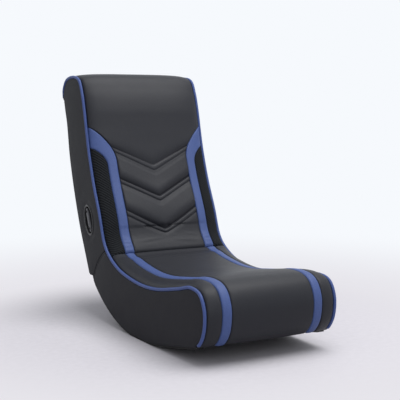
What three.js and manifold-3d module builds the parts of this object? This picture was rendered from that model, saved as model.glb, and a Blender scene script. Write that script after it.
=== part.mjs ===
// A floor rocker chair for gaming: a seat block that rocks on two curved side boards, and a back block
// that folds forward onto it about two hinges at the inner corner.
// Millimetres, +Z up. The sitter faces -Y, so the sitter's left is +X and right is -X.
import * as THREE from "three";
import { mergeVertices } from "three/addons/utils/BufferGeometryUtils.js";
import Module from "manifold-3d";

// Overall sizes, which the side view and the width follow
const chairWidth = 400;
const edgeDepth = 896; // of the piping line in the side view, front to back
const edgeHeight = 727; // of the piping line above the floor

// Boards, covers and padding
const seatBoard = 18;
const backBoard = 9;
const deckBoard = 15;
const railBoard = 18;
const backRail = 12;
const coverThickness = 2.5;
const coverSetback = 2.5; // of the side covers inside the widest point of the piping
const sheetThickness = 1.5;
const pipingRadius = 4.5;
const backFoamThickness = 13;
const seatCrown = 30;
const backCrown = 28;

// Clearances
const fit = 0.3; // between pieces that touch
const foamFit = 1.2; // between foam and what covers it
const pipingFit = 1.4; // between the piping and the side covers
const seamGap = 1; // between the covers of the two blocks
const boardSetback = 2.5; // of a board behind the cover that hides it

// Rocker
const runnerThickness = 4;
const runnerWidth = 22;
const landDepth = 4; // how deep the runner's lowest stretch is cut flat

// Colours and finish
const finishes = {
  blackCover: { color: 0x2e2f33, roughness: 0.55, metalness: 0 },
  seatCover: { color: 0x26272b, roughness: 0.5, metalness: 0 },
  blueCover: { color: 0x4a5a8c, roughness: 0.6, metalness: 0 },
  ribbedFabric: { color: 0x1e2225, roughness: 0.85, metalness: 0 },
  liningFabric: { color: 0x1a1a1c, roughness: 0.95, metalness: 0 },
  foam: { color: 0xd8d2bc, roughness: 0.95, metalness: 0 },
  webbing: { color: 0x3a3a3c, roughness: 0.9, metalness: 0 },
  plywood: { color: 0xc19a6b, roughness: 0.7, metalness: 0 },
  steel: { color: 0x9a9da1, roughness: 0.4, metalness: 1 },
  blackPlastic: { color: 0x1c1c1e, roughness: 0.5, metalness: 0 },
  rubber: { color: 0x151516, roughness: 0.9, metalness: 0 },
};

const wasm = await Module();
wasm.setup();

const chair = new THREE.Group();

function addPiece(name, geometry, finish) {
  const piece = new THREE.Mesh(geometry, new THREE.MeshStandardMaterial(finishes[finish]));
  piece.name = name;
  chair.add(piece);
}

// Left is +1 and right is -1, as factors on X
const sides = [
  ["left", 1],
  ["right", -1],
];

const mix = THREE.MathUtils.lerp;
const evenly = (from, to, steps) => Array.from({ length: steps + 1 }, (_, i) => mix(from, to, i / steps));
const sideView = ([depthShare, heightShare]) => [depthShare * edgeDepth, heightShare * edgeHeight];

// A value read off a table of [place, value] rows with a soft step between rows
function softTable(rows, place) {
  const next = rows.findIndex(([at]) => at > place);
  if (next === 0) return rows[0][1];
  if (next < 0) return rows.at(-1)[1];
  const [from, low] = rows[next - 1];
  const [to, high] = rows[next];
  return mix(low, high, THREE.MathUtils.smoothstep(place, from, to));
}

const lineDivisions = 1200; // that a line's lengths are measured in

// A smooth line in the side view, read by the length along it
class SideLine {
  constructor(points) {
    const spots = points.map(([y, z]) => new THREE.Vector3(0, y, z));
    this.curve = new THREE.CatmullRomCurve3(spots, false, "centripetal");
    this.curve.arcLengthDivisions = lineDivisions;
    this.length = this.curve.getLength();
    this.points = points.length;
  }
  // The length at one of the line's own points
  lengthAt(index) {
    const lengths = this.curve.getLengths();
    return lengths[Math.round(((lengths.length - 1) * index) / (this.points - 1))];
  }
  // The point at a length, moved out square to the line by rise
  at(length, rise = 0) {
    const share = THREE.MathUtils.clamp(length / this.length, 0, 1);
    const spot = this.curve.getPointAt(share);
    const along = this.curve.getTangentAt(share);
    return [spot.y + along.z * rise, spot.z - along.y * rise];
  }
  run(from, to, rise, steps) {
    return evenly(from, to, steps).map((length) => this.at(length, rise));
  }
}

// The piping line: from the rear end of the top roll, over the top, down the back's front edge, round the
// inner corner and along the seat to its front edge
const edgeShares = [
  [0.4905, 0.897],
  [0.499, 0.909],
  [0.4955, 0.941],
  [0.469, 0.985],
  [0.404, 1],
  [0.354, 0.984],
  [0.329, 0.93],
  [0.31, 0.857],
  [0.2925, 0.765],
  [0.2757, 0.687],
  [0.239, 0.56],
  [0.192, 0.435],
  [0.161, 0.337],
  [0.137, 0.3],
  [0.1015, 0.27],
  [0.0445, 0.2405],
  [-0.0257, 0.223],
  [-0.1228, 0.212],
  [-0.2165, 0.2175],
  [-0.347, 0.246],
  [-0.424, 0.2655],
  [-0.4743, 0.2515],
  [-0.4978, 0.2035],
  [-0.499, 0.1485],
  [-0.489, 0.11],
  [-0.473, 0.0825],
  [-0.461, 0.072],
];
const cornerIndex = 13;
const pipingStartIndex = 1;
const pipingEndIndex = 25;
const edge = new SideLine(edgeShares.map(sideView));
const corner = edge.lengthAt(cornerIndex);
const pipingStart = edge.lengthAt(pipingStartIndex);
const pipingEnd = edge.lengthAt(pipingEndIndex);

// The back's rear face, from the top down to its lower rear corner
const rearShares = [
  [0.4865, 0.89],
  [0.4795, 0.86],
  [0.464, 0.8],
  [0.443, 0.663],
  [0.405, 0.512],
  [0.356, 0.363],
  [0.316, 0.267],
  [0.279, 0.179],
];
const rear = new SideLine(rearShares.map(sideView));

// Half widths across the chair
const pipingAcross = chairWidth / 2 - pipingRadius;
const padHalf = pipingAcross - pipingRadius - fit;
const coverOuter = chairWidth / 2 - coverSetback;
const coverInner = coverOuter - coverThickness;
const boardOuter = coverInner - fit;
const backBoardInner = boardOuter - backBoard;
const seatBoardInner = boardOuter - seatBoard;
const runnerInner = boardOuter - runnerWidth;

// Hinge: its pin lies just outside the piping, so the piping folds without being pinched
const pinLift = 0.3;
const knuckleRadius = 4;
const pinRadius = 2;
const [pinY, pinZ] = edge.at(corner, pipingRadius + pinLift);

// The slanting joint between the blocks is an arc from the pin to the seat's rear end
const seatRearEndShare = [0.2467, 0.161];
const [seamEndY, seamEndZ] = sideView(seatRearEndShare);
const seamBulge = 16; // of the arc over its chord
const seamChord = Math.hypot(seamEndY - pinY, seamEndZ - pinZ);
const seamRadius = ((seamChord / 2) ** 2 + seamBulge ** 2) / (2 * seamBulge);
const seamHalfAngle = Math.asin(seamChord / 2 / seamRadius);
const seamChordAngle = Math.atan2(seamEndZ - pinZ, seamEndY - pinY);
const seamArc = 2 * seamHalfAngle * seamRadius;
const seamCentre = [
  pinY + seamRadius * Math.cos(seamChordAngle + seamHalfAngle - Math.PI / 2),
  pinZ + seamRadius * Math.sin(seamChordAngle + seamHalfAngle - Math.PI / 2),
];
// A point on the joint's arc, shifted towards the back (+) or the seat (-)
function seamAt(share, shift) {
  const angle = seamChordAngle + seamHalfAngle + Math.PI / 2 - share * 2 * seamHalfAngle;
  const reach = seamRadius + shift;
  return [seamCentre[0] + reach * Math.cos(angle), seamCentre[1] + reach * Math.sin(angle)];
}
const seamRun = (from, to, shift, steps) => evenly(from, to, steps).map((share) => seamAt(share, shift));

// The hinge's leaves lie along the joint's arc, between two rails
const leafThickness = 1.5;
const leafLength = 34;
const hingeRailLength = 36;
const hingeRailThickness = 16;
const backRailStart = 16; // from the pin
const seatRailStart = 10;
const [leafEndY, leafEndZ] = seamAt(leafLength / seamArc, 0);
const leafAngle = Math.atan2(leafEndZ - pinZ, leafEndY - pinY);

// The rocker's underside, from the front end of the runner to its rear end
const rockerFront = [-0.452, 0.0646];
const rockerLow = [-0.1116, 0];
const rockerRear = [0.24, 0.15];
const rockerFrontBend = [-0.191, 0];
const rockerRearBend = [0.09, 0];
const rockerSteps = 44;
function rockerPoints(from = 0, to = 1, steps = rockerSteps) {
  const view = (share) => new THREE.Vector2(...sideView(share));
  const front = new THREE.QuadraticBezierCurve(view(rockerFront), view(rockerFrontBend), view(rockerLow));
  const back = new THREE.QuadraticBezierCurve(view(rockerLow), view(rockerRearBend), view(rockerRear));
  return evenly(from, to, steps).map((share) => {
    const spot = share < 0.5 ? front.getPoint(share * 2) : back.getPoint(share * 2 - 1);
    return [spot.x, Math.max(spot.y - landDepth, 0)];
  });
}
// The same line lifted square to itself
function raised(points, lift) {
  return points.map(([y, z], i) => {
    const [y0, z0] = points[Math.max(i - 1, 0)];
    const [y1, z1] = points[Math.min(i + 1, points.length - 1)];
    const run = Math.hypot(y1 - y0, z1 - z0);
    return [y - ((z1 - z0) / run) * lift, z + ((y1 - y0) / run) * lift];
  });
}

// Solids
function geometryOf(spots, faces) {
  const geometry = new THREE.BufferGeometry();
  geometry.setAttribute("position", new THREE.Float32BufferAttribute(spots.flat(), 3));
  geometry.setIndex(faces);
  return geometry;
}
const quad = (faces, a, b, c, d) => faces.push(a, b, c, a, c, d);

// A closed slab between a top grid and a bottom grid of the same rows and columns
function slab(top, bottom) {
  const columns = top[0].length;
  const under = top.length * columns;
  const lastRow = (top.length - 1) * columns;
  const faces = [];
  for (let row = 0; row < lastRow; row += columns) {
    for (let a = row; a < row + columns - 1; a += 1) {
      const b = a + columns;
      quad(faces, a, b, b + 1, a + 1);
      quad(faces, under + a, under + a + 1, under + b + 1, under + b);
    }
    const end = row + columns - 1;
    quad(faces, row, under + row, under + row + columns, row + columns);
    quad(faces, end, end + columns, under + end + columns, under + end);
  }
  for (let a = 0; a < columns - 1; a += 1) {
    const b = lastRow + a;
    quad(faces, a, a + 1, under + a + 1, under + a);
    quad(faces, b, under + b, under + b + 1, b + 1);
  }
  return geometryOf([...top.flat(), ...bottom.flat()], faces);
}

// A solid between closed outlines that stand across the chair at rising X
function acrossLoft(stations, outlineAt) {
  const rings = stations.map((x) => outlineAt(x).map(([y, z]) => [x, y, z]));
  const count = rings[0].length;
  const faces = [];
  for (let ring = 0; ring < rings.length - 1; ring += 1) {
    for (let k = 0; k < count; k += 1) {
      const a = ring * count + k;
      const b = ring * count + ((k + 1) % count);
      quad(faces, a, b, b + count, a + count);
    }
  }
  const last = (rings.length - 1) * count;
  const flat = rings[0].map(([, y, z]) => new THREE.Vector2(y, z));
  for (const [a, b, c] of THREE.ShapeUtils.triangulateShape(flat, [])) {
    faces.push(a, c, b, last + a, last + b, last + c);
  }
  return geometryOf(rings.flat(), faces);
}

// An outline in the side view, given a thickness across the chair
const sideBasis = new THREE.Matrix4().makeBasis(
  new THREE.Vector3(0, 1, 0),
  new THREE.Vector3(0, 0, 1),
  new THREE.Vector3(1, 0, 0),
);
const outlineOf = (points) => new THREE.Shape(points.map(([y, z]) => new THREE.Vector2(y, z)));
function acrossPlate(shape, from, to, segments = 12) {
  const depth = Math.abs(to - from);
  const plate = new THREE.ExtrudeGeometry(shape, { depth, bevelEnabled: false, curveSegments: segments });
  return plate.applyMatrix4(sideBasis).translate(Math.min(from, to), 0, 0);
}
const solidOf = (geometry) => {
  const bare = geometry.clone();
  bare.deleteAttribute("normal");
  bare.deleteAttribute("uv");
  const merged = mergeVertices(bare);
  return new wasm.Manifold(
    new wasm.Mesh({
      numProp: 3,
      vertProperties: new Float32Array(merged.attributes.position.array),
      triVerts: new Uint32Array(merged.index.array),
    }),
  );
};
const geometryFrom = (solid) => {
  const mesh = solid.getMesh();
  const geometry = new THREE.BufferGeometry();
  geometry.setAttribute("position", new THREE.BufferAttribute(new Float32Array(mesh.vertProperties), 3));
  geometry.setIndex(new THREE.BufferAttribute(new Uint32Array(mesh.triVerts), 1));
  return geometry;
};

// Padding: how far the covers stand out from the piping line
const crownRows = [
  [0, 0.15],
  [0.14, 0.32],
  [0.42, 1],
  [1, 1],
];
const seatCrownRows = [
  [0, 1],
  [0.7, 1],
  [0.8, 0.8],
  [0.88, 0.47],
  [1, 0.2],
];
const crownPower = 4;
const crownRoundness = 0.45;
const creaseSlope = 0.36; // of the padding on each side of the crease
const creaseSoftness = 3;
function crownAt(length, x) {
  const inSeat = length > corner;
  const along = inSeat
    ? seatCrown * softTable(seatCrownRows, (length - corner) / (edge.length - corner))
    : backCrown * softTable(crownRows, length / corner);
  const acrossShare = Math.min(Math.abs(x) / padHalf, 1);
  const full = along * (1 - acrossShare ** crownPower) ** crownRoundness;
  const creaseLimit = creaseSlope * Math.abs(length - corner) + pipingRadius;
  const gap = full - creaseLimit;
  return (full + creaseLimit - Math.hypot(gap, creaseSoftness)) / 2;
}
const padSpot = (length, x, rise) => {
  const [y, z] = edge.at(length, rise);
  return [x, y, z];
};

// Shares up to 1 that crowd towards it, where the padding curves most
const crowded = (from, steps) => evenly(from, 1, steps).map((share) => Math.sin((share * Math.PI) / 2));

// A cover on the padding: rows of lengths, an inner and an outer half width at each length, and what is
// pressed into it. side 0 spans the chair from -outer to +outer.
function padCover(cover) {
  const { rows, inner, outer, side, columns, bend, press, drop = 0, thickness = coverThickness } = cover;
  const grid = (depth) =>
    rows.map((row) => {
      const low = side === 0 ? 0 : inner(row);
      return crowded(side === 0 ? -1 : 0, columns).map((share) => {
        const reach = side === 0 ? share * outer(row) : mix(low, outer(row), share);
        const x = side === 0 ? reach : side * reach;
        const length = row + (bend ? bend(row, x / outer(row)) : 0);
        const rise = crownAt(length, x) - drop - depth + (press ? press(row) : 0);
        return padSpot(length, x, rise);
      });
    });
  const top = grid(0);
  const bottom = grid(thickness);
  return side < 0 ? slab(mirrored(top), mirrored(bottom)) : slab(top, bottom);
}
// Rows run from -X to +X, so those of a right-hand piece are turned round
const mirrored = (rows) => rows.map((row) => [...row].reverse());

// Layout of the covers on the back, along the piping line
const stripInner = 119; // half width at the strips' inner edges
const stripWidth = 30;
const sweepRise = 386; // from the corner up to where a strip's upper edge leaves the piping
const sweepLength = 115;
const ribbedRise = 322; // from the corner up to where its lower edge leaves the piping
const ribbedSweep = 60;
const sweepTop = corner - sweepRise;
const ribbedTop = corner - ribbedRise;
const creaseGap = 6; // from the corner to the end of a cover
const sweep = (length, top, span) => (1 - THREE.MathUtils.clamp((length - top) / span, 0, 1)) ** 2;
const backStripInner = (length) => mix(stripInner, padHalf, sweep(length, sweepTop, sweepLength));
const stripOuter = stripInner + stripWidth;
const backStripOuter = (length) => mix(stripOuter, padHalf, sweep(length, ribbedTop, ribbedSweep));
const backEnd = corner - creaseGap;

// Chevron channels across the back's centre panel
const chevronRise = 311; // from the corner up to the ends of the highest one
const chevronPitch = 101;
const chevronCount = 3;
const chevronBend = 60; // how far the middle hangs below the ends
const chevronFade = 90;
const channelWidth = 20; // two grooves and the rib between them
const channelDepth = 4.5;
const channelShares = [
  [-0.8, 0],
  [-0.45, 0.33],
  [-0.25, 1],
  [-0.08, 0.25],
  [0.08, 0.25],
  [0.25, 1],
  [0.45, 0],
];
const chevronTop = corner - chevronRise;
const chevrons = Array.from({ length: chevronCount }, (_, i) => chevronTop + i * chevronPitch);
const channelAt = (chevron) =>
  channelShares.map(([place, depth]) => [chevron + place * channelWidth, -depth * channelDepth]);
const pressedAt = new Map(chevrons.flatMap(channelAt));
const chevronHang = (row, share) =>
  chevronBend *
  (1 - Math.abs(share)) *
  THREE.MathUtils.smoothstep(row, chevronTop - chevronFade, chevronTop) *
  (1 - THREE.MathUtils.smoothstep(row, backEnd - chevronFade, backEnd));
const columnSpacing = 33;
const columnsOver = (span) => 2 * Math.round(span / columnSpacing / 2);
const backColumns = columnsOver(chairWidth);
// Rows that the back's covers share, so that their edges run side by side
const stripStart = 5; // where a strip's pointed end begins to have a width
const rowSpacing = 32;
const channelReach = 20; // plain rows stay this far from a channel
const sweepEnd = sweepTop + sweepLength;
const rising = (a, b) => a - b;
const sweepSteps = 8;
const sideSteps = 11;
const evenSweepRows = evenly(sweepTop + stripStart, sweepEnd, sweepSteps);
const sweepRows = [...evenSweepRows, ribbedTop + stripStart].sort(rising);
const sideRows = [...sweepRows, ...evenly(sweepEnd, backEnd, sideSteps).slice(1)];
const rollRows = [pipingStartIndex, pipingStartIndex + 1].map((index) => edge.lengthAt(index));
const fixedRows = [0, ...rollRows, backEnd, ...sweepRows, ...pressedAt.keys()];
const clearOfChannels = (row) => chevrons.every((at) => Math.abs(row - at) > channelReach);
const clearOfFixed = (row) => fixedRows.every((at) => Math.abs(row - at) > rowSpacing / 3);
const plainRows = evenly(0, backEnd, Math.round(backEnd / rowSpacing)).filter(
  (row) => clearOfChannels(row) && clearOfFixed(row),
);
const backRows = [...fixedRows, ...plainRows].sort(rising);
addPiece(
  "back_centre_panel",
  padCover({
    rows: backRows,
    outer: (row) => backStripInner(row) - fit,
    side: 0,
    columns: backColumns,
    bend: chevronHang,
    press: (row) => pressedAt.get(row) ?? 0,
  }),
  "blackCover",
);
for (const [name, side] of sides) {
  addPiece(
    `back_strip_${name}`,
    padCover({
      rows: sideRows,
      inner: backStripInner,
      outer: backStripOuter,
      side,
      columns: 3,
    }),
    "blueCover",
  );
  addPiece(
    `back_ribbed_panel_${name}`,
    padCover({
      rows: sideRows.filter((row) => row >= ribbedTop + stripStart),
      inner: (row) => backStripOuter(row) + fit,
      outer: () => padHalf,
      side,
      columns: 4,
    }),
    "ribbedFabric",
  );
}

// Covers on the seat
const seatStart = corner + creaseGap;
const seatStripWidth = 27;
const seatStripInner = 123;
const seatEnd = edge.length;
const seatSteps = 34;
const seatRows = evenly(seatStart, seatEnd, seatSteps);
const seatColumns = columnsOver(2 * seatStripInner);
const stripColumns = 2;
const bolsterColumns = 4;
addPiece(
  "seat_centre_panel",
  padCover({ rows: seatRows, outer: () => seatStripInner - fit, side: 0, columns: seatColumns }),
  "seatCover",
);
for (const [name, side] of sides) {
  addPiece(
    `seat_strip_${name}`,
    padCover({
      rows: seatRows,
      inner: () => seatStripInner,
      outer: () => seatStripInner + seatStripWidth,
      side,
      columns: stripColumns,
    }),
    "blueCover",
  );
  addPiece(
    `seat_bolster_panel_${name}`,
    padCover({
      rows: seatRows,
      inner: () => seatStripInner + seatStripWidth + fit,
      outer: () => padHalf,
      side,
      columns: bolsterColumns,
    }),
    "seatCover",
  );
}

// Piping along both edges of each block
const roundSection = (radius) => new THREE.Shape().absarc(0, 0, radius, 0, 2 * Math.PI);
const pipingSides = 8;
function piping(from, to, x, steps) {
  const spots = edge.run(from, to, 0, 2 * steps).map(([y, z]) => new THREE.Vector3(x, y, z));
  return new THREE.ExtrudeGeometry(roundSection(pipingRadius), {
    extrudePath: new THREE.CatmullRomCurve3(spots, false, "centripetal"),
    steps,
    curveSegments: pipingSides / 2,
    bevelEnabled: false,
  });
}
const backPipingSteps = 40;
const seatPipingSteps = 34;
for (const [name, side] of sides) {
  const x = side * pipingAcross;
  addPiece(`back_piping_${name}`, piping(pipingStart, corner - fit, x, backPipingSteps), "blueCover");
  addPiece(`seat_piping_${name}`, piping(corner + fit, pipingEnd, x, seatPipingSteps), "blueCover");
}

// Outlines of the blocks in the side view, drawn in from the piping, the joint and the outer faces
const coverInset = pipingRadius + pipingFit;
const cornerTrim = 12; // from the corner to where an outline leaves the piping line
const seamStartShare = 0.1;
const backHeelShare = [0.2515, 0.179];
const seamSteps = 8;
const outlineSteps = 36;
const rearSteps = 13;
function backOutline(edgeInset, seamShift, rearInset) {
  const [heelY, heelZ] = sideView(backHeelShare);
  return [
    ...edge.run(0, corner - cornerTrim, -edgeInset, outlineSteps),
    ...seamRun(seamStartShare, 1, seamShift, seamSteps),
    [heelY, heelZ + rearInset],
    ...rear.run(rear.length, 0, rearInset, rearSteps),
  ];
}
function seatOutline(edgeInset, seamShift, lift) {
  return [
    ...edge.run(corner, edge.length, -edgeInset, outlineSteps),
    ...raised(rockerPoints(), lift),
    ...seamRun(1, seamStartShare, -seamShift, seamSteps),
  ];
}

// Carry handle let into the right side of the back
const handleShare = [0.279, 0.4065];
const handleTilt = THREE.MathUtils.degToRad(24);
const rimLength = 96;
const rimProud = 2;
const cupLength = 84;
const cupWidth = 56;
const cupWall = 2;
const cupDepth = 27;
const [handleY, handleZ] = sideView(handleShare);
function handleHole(clearance) {
  return new THREE.Path().absellipse(
    handleY,
    handleZ,
    cupWidth / 2 + clearance,
    cupLength / 2 + clearance,
    0,
    2 * Math.PI,
    true,
    -handleTilt,
  );
}
const holeSegments = 14;

for (const [name, side] of sides) {
  const backShape = outlineOf(backOutline(coverInset + fit, boardSetback, boardSetback));
  const backCoverShape = outlineOf(backOutline(coverInset, seamGap / 2, 0));
  if (side < 0) {
    backShape.holes.push(handleHole(fit));
    backCoverShape.holes.push(handleHole(fit));
  }
  const seatShape = outlineOf(seatOutline(coverInset + fit, boardSetback, runnerThickness + fit));
  const seatCoverShape = outlineOf(seatOutline(coverInset, seamGap / 2, runnerThickness + fit));
  const board = (shape, inner) => acrossPlate(shape, side * inner, side * boardOuter, holeSegments);
  const cover = (shape) => acrossPlate(shape, side * coverInner, side * coverOuter, holeSegments);
  addPiece(`back_side_board_${name}`, board(backShape, backBoardInner), "plywood");
  addPiece(`back_side_cover_${name}`, cover(backCoverShape), "blackCover");
  addPiece(`seat_side_board_${name}`, board(seatShape, seatBoardInner), "plywood");
  addPiece(`seat_side_cover_${name}`, cover(seatCoverShape), "blackCover");
  const underside = rockerPoints();
  const runner = outlineOf([...underside, ...raised(underside, runnerThickness).reverse()]);
  addPiece(`runner_${name}`, acrossPlate(runner, side * runnerInner, side * boardOuter), "rubber");
}

// A sheet that follows points in the side view, thick towards its left as the points run
function sheet(points, thickness, halfWidth) {
  const row = ([y, z]) => [
    [-halfWidth, y, z],
    [halfWidth, y, z],
  ];
  return slab(points.map(row), raised(points, thickness).map(row));
}

// Handle: cup with rim and two bosses, grip bar, two screws
const bossSpacing = 54;
const bossRadius = 7;
const gripLength = 76;
const gripWidth = 17;
const gripThickness = 9;
const screwRadius = 1.8;
const screwHeadRadius = 4;
const screwHeadHeight = 1.6;
const screwLength = 20;
const screwSides = 16;
const rimOuter = coverOuter + rimProud;
const cupFloor = rimOuter - cupDepth;
const roundSides = 24;
// A shape about the handle's axis, whose own +Y points out of the chair's right side
function onHandle(geometry, alongShift = 0) {
  return geometry
    .rotateZ(Math.PI / 2)
    .translate(0, 0, alongShift)
    .rotateX(-handleTilt)
    .translate(0, handleY, handleZ);
}
const cupShareWidth = cupWidth / cupLength;
const rimUnder = coverOuter + fit;
// Reach from the cup's axis, and distance from the chair's middle
const cupProfile = [
  [0, cupFloor],
  [cupLength / 2 - cupWall, cupFloor],
  [cupLength / 2, cupFloor + cupWall],
  [cupLength / 2, rimUnder],
  [rimLength / 2, rimUnder],
  [rimLength / 2 - cupWall / 2, rimOuter],
  [cupLength / 2, rimOuter],
  [cupLength / 2 - cupWall, rimOuter - cupWall],
  [cupLength / 2 - 2 * cupWall, cupFloor + 2 * cupWall],
  [cupLength / 2 - 3 * cupWall, cupFloor + cupWall],
  [0, cupFloor + cupWall],
].map((spot) => new THREE.Vector2(...spot));
const cup = new THREE.LatheGeometry(cupProfile, roundSides);
cup.scale(cupShareWidth, 1, 1);
const gripInner = rimOuter - gripThickness;
function post(radius, from, to, shift) {
  const upright = new THREE.CylinderGeometry(radius, radius, to - from, screwSides);
  return onHandle(upright.translate(0, (from + to) / 2, 0), shift);
}
const bossShifts = [
  ["upper", bossSpacing / 2],
  ["lower", -bossSpacing / 2],
];
let cupSolid = solidOf(onHandle(cup));
for (const [, shift] of bossShifts) {
  cupSolid = cupSolid.add(solidOf(post(bossRadius, cupFloor + cupWall / 2, gripInner - fit, shift)));
}
for (const [, shift] of bossShifts) {
  cupSolid = cupSolid.subtract(
    solidOf(post(screwRadius + fit, rimOuter - screwLength - fit, rimOuter, shift)),
  );
}
addPiece("handle_cup", geometryFrom(cupSolid), "blackPlastic");

const gripShape = new THREE.Shape();
const gripHalf = gripLength / 2 - gripWidth / 2;
gripShape.absarc(0, gripHalf, gripWidth / 2, 0, Math.PI, false);
gripShape.absarc(0, -gripHalf, gripWidth / 2, Math.PI, 2 * Math.PI, false);
const gripBevel = 2;
const grip = new THREE.ExtrudeGeometry(gripShape, {
  depth: gripThickness - 2 * gripBevel,
  bevelThickness: gripBevel,
  bevelSize: gripBevel,
  bevelOffset: -gripBevel,
  bevelSegments: 2,
  curveSegments: 8,
});
// The bar is drawn in the XY plane and thickened along +Z: turned so that +Z becomes +Y and Y becomes Z
grip.rotateX(-Math.PI / 2).rotateY(Math.PI).translate(0, gripInner + gripBevel, 0);
let gripSolid = solidOf(onHandle(grip));
for (const [name, shift] of bossShifts) {
  const headSeat = rimOuter - screwHeadHeight;
  gripSolid = gripSolid
    .subtract(solidOf(post(screwRadius + fit, gripInner - gripThickness, rimOuter, shift)))
    .subtract(solidOf(post(screwHeadRadius + fit, headSeat - fit, rimOuter + screwHeadHeight, shift)));
  const head = solidOf(post(screwHeadRadius, headSeat, rimOuter, shift));
  const shank = solidOf(post(screwRadius, rimOuter - screwLength, headSeat + screwHeadHeight / 2, shift));
  addPiece(`handle_screw_${name}`, geometryFrom(head.add(shank)), "steel");
}
addPiece("handle_grip", geometryFrom(gripSolid), "blackPlastic");

// Rear cover of the back, and the covers on the slanting faces of both blocks
const bottomCoverLift = 5; // over the rocker's underside
const bottomCoverStartShare = 0.02; // of the rocker's length
const bottomCoverSteps = 30;
const backInside = backBoardInner - fit;
const seatInside = seatBoardInner - fit;
const rearLine = rear.run(0, rear.length, 0, rearSteps);
const slantStart = (backRailStart + hingeRailLength) / seamArc;
const backSlant = seamRun(slantStart, 1, seamGap / 2, seamSteps);
const seatSlant = seamRun(1, slantStart, -seamGap / 2, seamSteps);
const bottomLine = raised(rockerPoints(bottomCoverStartShare, 1, bottomCoverSteps), bottomCoverLift);
const linings = [
  ["back_rear_cover", rearLine, coverInner - fit],
  ["back_bottom_cover", backSlant, backInside],
  ["seat_rear_cover", seatSlant, seatInside],
  ["bottom_cover", bottomLine, runnerInner - fit],
];
for (const [name, line, halfWidth] of linings) {
  addPiece(name, sheet(line, sheetThickness, halfWidth), "liningFabric");
}

// Frame of the seat
const deckTopShare = 0.1375;
const deckFrontShare = -0.44;
const deckRearShare = 0.131;
const deckTop = deckTopShare * edgeHeight;
const deckFront = deckFrontShare * edgeDepth;
const deckRear = deckRearShare * edgeDepth;
function beam(name, outline, halfWidth, finish = "plywood") {
  addPiece(name, acrossPlate(outlineOf(outline), -halfWidth, halfWidth), finish);
}
const box = (y0, z0, y1, z1) => [
  [y0, z0],
  [y1, z0],
  [y1, z1],
  [y0, z1],
];
beam("seat_deck", box(deckFront, deckTop - deckBoard, deckRear, deckTop), seatInside);
const underDeck = deckTop - deckBoard - fit;
// The height at a depth of the rocker line raised by a lift
function rockerHeight(y, lift) {
  const points = raised(rockerPoints(), lift);
  const next = points.findIndex(([at]) => at > y);
  const [y0, z0] = points[next - 1];
  const [y1, z1] = points[next];
  return mix(z0, z1, (y - y0) / (y1 - y0));
}
const railLift = bottomCoverLift + sheetThickness + fit;
const railFoot = (y) => Math.max(rockerHeight(y, railLift), rockerHeight(y + railBoard, railLift));
const railPlaces = [
  ["seat_front_rail", deckFront],
  ["seat_middle_rail", (deckFront + deckRear) / 2],
  ["seat_rear_rail", deckRear - railBoard],
];
for (const [name, y] of railPlaces) {
  beam(name, box(y, railFoot(y), y + railBoard, underDeck), seatInside);
}

// Hinge rails on both sides of the joint, and the leaves between them
const hingeWidth = 60;
const hingeAcross = 110;
// A place beside the pin: along the leaves and square to them
const byPin = ([along, up]) => [
  pinY + along * Math.cos(leafAngle) - up * Math.sin(leafAngle),
  pinZ + along * Math.sin(leafAngle) + up * Math.cos(leafAngle),
];
const railNear = leafThickness + 2 * fit;
const railFar = railNear + hingeRailThickness;
const backHingeRail = box(backRailStart, railNear, backRailStart + hingeRailLength, railFar);
const seatHingeRail = box(seatRailStart, -railFar, seatRailStart + hingeRailLength, -railNear);
beam("back_hinge_rail", backHingeRail.map(byPin), backInside);
beam("seat_hinge_rail", seatHingeRail.map(byPin), seatInside);
const knuckleShare = 1 / 3; // of the hinge's width
const knuckleSegments = 8;
const tongueInset = fit / 2; // behind the faces of the plate and the knuckle that it joins
function knuckle(from, to) {
  const ring = new THREE.Shape().absarc(pinY, pinZ, knuckleRadius, 0, 2 * Math.PI);
  ring.holes.push(new THREE.Path().absarc(pinY, pinZ, pinRadius + fit, 0, 2 * Math.PI, true));
  return solidOf(acrossPlate(ring, from, to, knuckleSegments));
}
// A strip of a leaf between two distances from the pin: up is +1 for the back's leaf and -1 for the seat's
function leafStrip(up, from, to, near, far, inset = 0) {
  const inner = up * (fit / 2 + inset);
  const outer = up * (fit / 2 + leafThickness - inset);
  const section = box(near, Math.min(inner, outer), far, Math.max(inner, outer));
  return solidOf(acrossPlate(outlineOf(section.map(byPin)), from + inset, to - inset));
}
const plateStart = knuckleRadius + 2 * fit;
const leafPlate = (up, from, to) => leafStrip(up, from, to, plateStart, leafLength);
// A knuckle with the tongue that joins it to its plate
function joinedKnuckle(up, from, to) {
  const tongue = leafStrip(up, from, to, pinRadius + 2 * fit, plateStart + leafThickness, tongueInset);
  return knuckle(from, to).add(tongue);
}
for (const [name, side] of sides) {
  const middle = side * hingeAcross;
  const low = middle - hingeWidth / 2;
  const high = middle + hingeWidth / 2;
  const knuckleWidth = hingeWidth * knuckleShare;
  const seatLeaf = leafPlate(-1, low, high)
    .add(joinedKnuckle(-1, low, low + knuckleWidth - fit))
    .add(joinedKnuckle(-1, high - knuckleWidth + fit, high));
  const backLeaf = leafPlate(1, low, high).add(
    joinedKnuckle(1, low + knuckleWidth, high - knuckleWidth),
  );
  addPiece(`hinge_seat_leaf_${name}`, geometryFrom(seatLeaf), "steel");
  addPiece(`hinge_back_leaf_${name}`, geometryFrom(backLeaf), "steel");
  const pin = new THREE.Shape().absarc(pinY, pinZ, pinRadius, 0, 2 * Math.PI);
  addPiece(`hinge_pin_${name}`, acrossPlate(pin, low, high, knuckleSegments), "steel");
}

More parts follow.
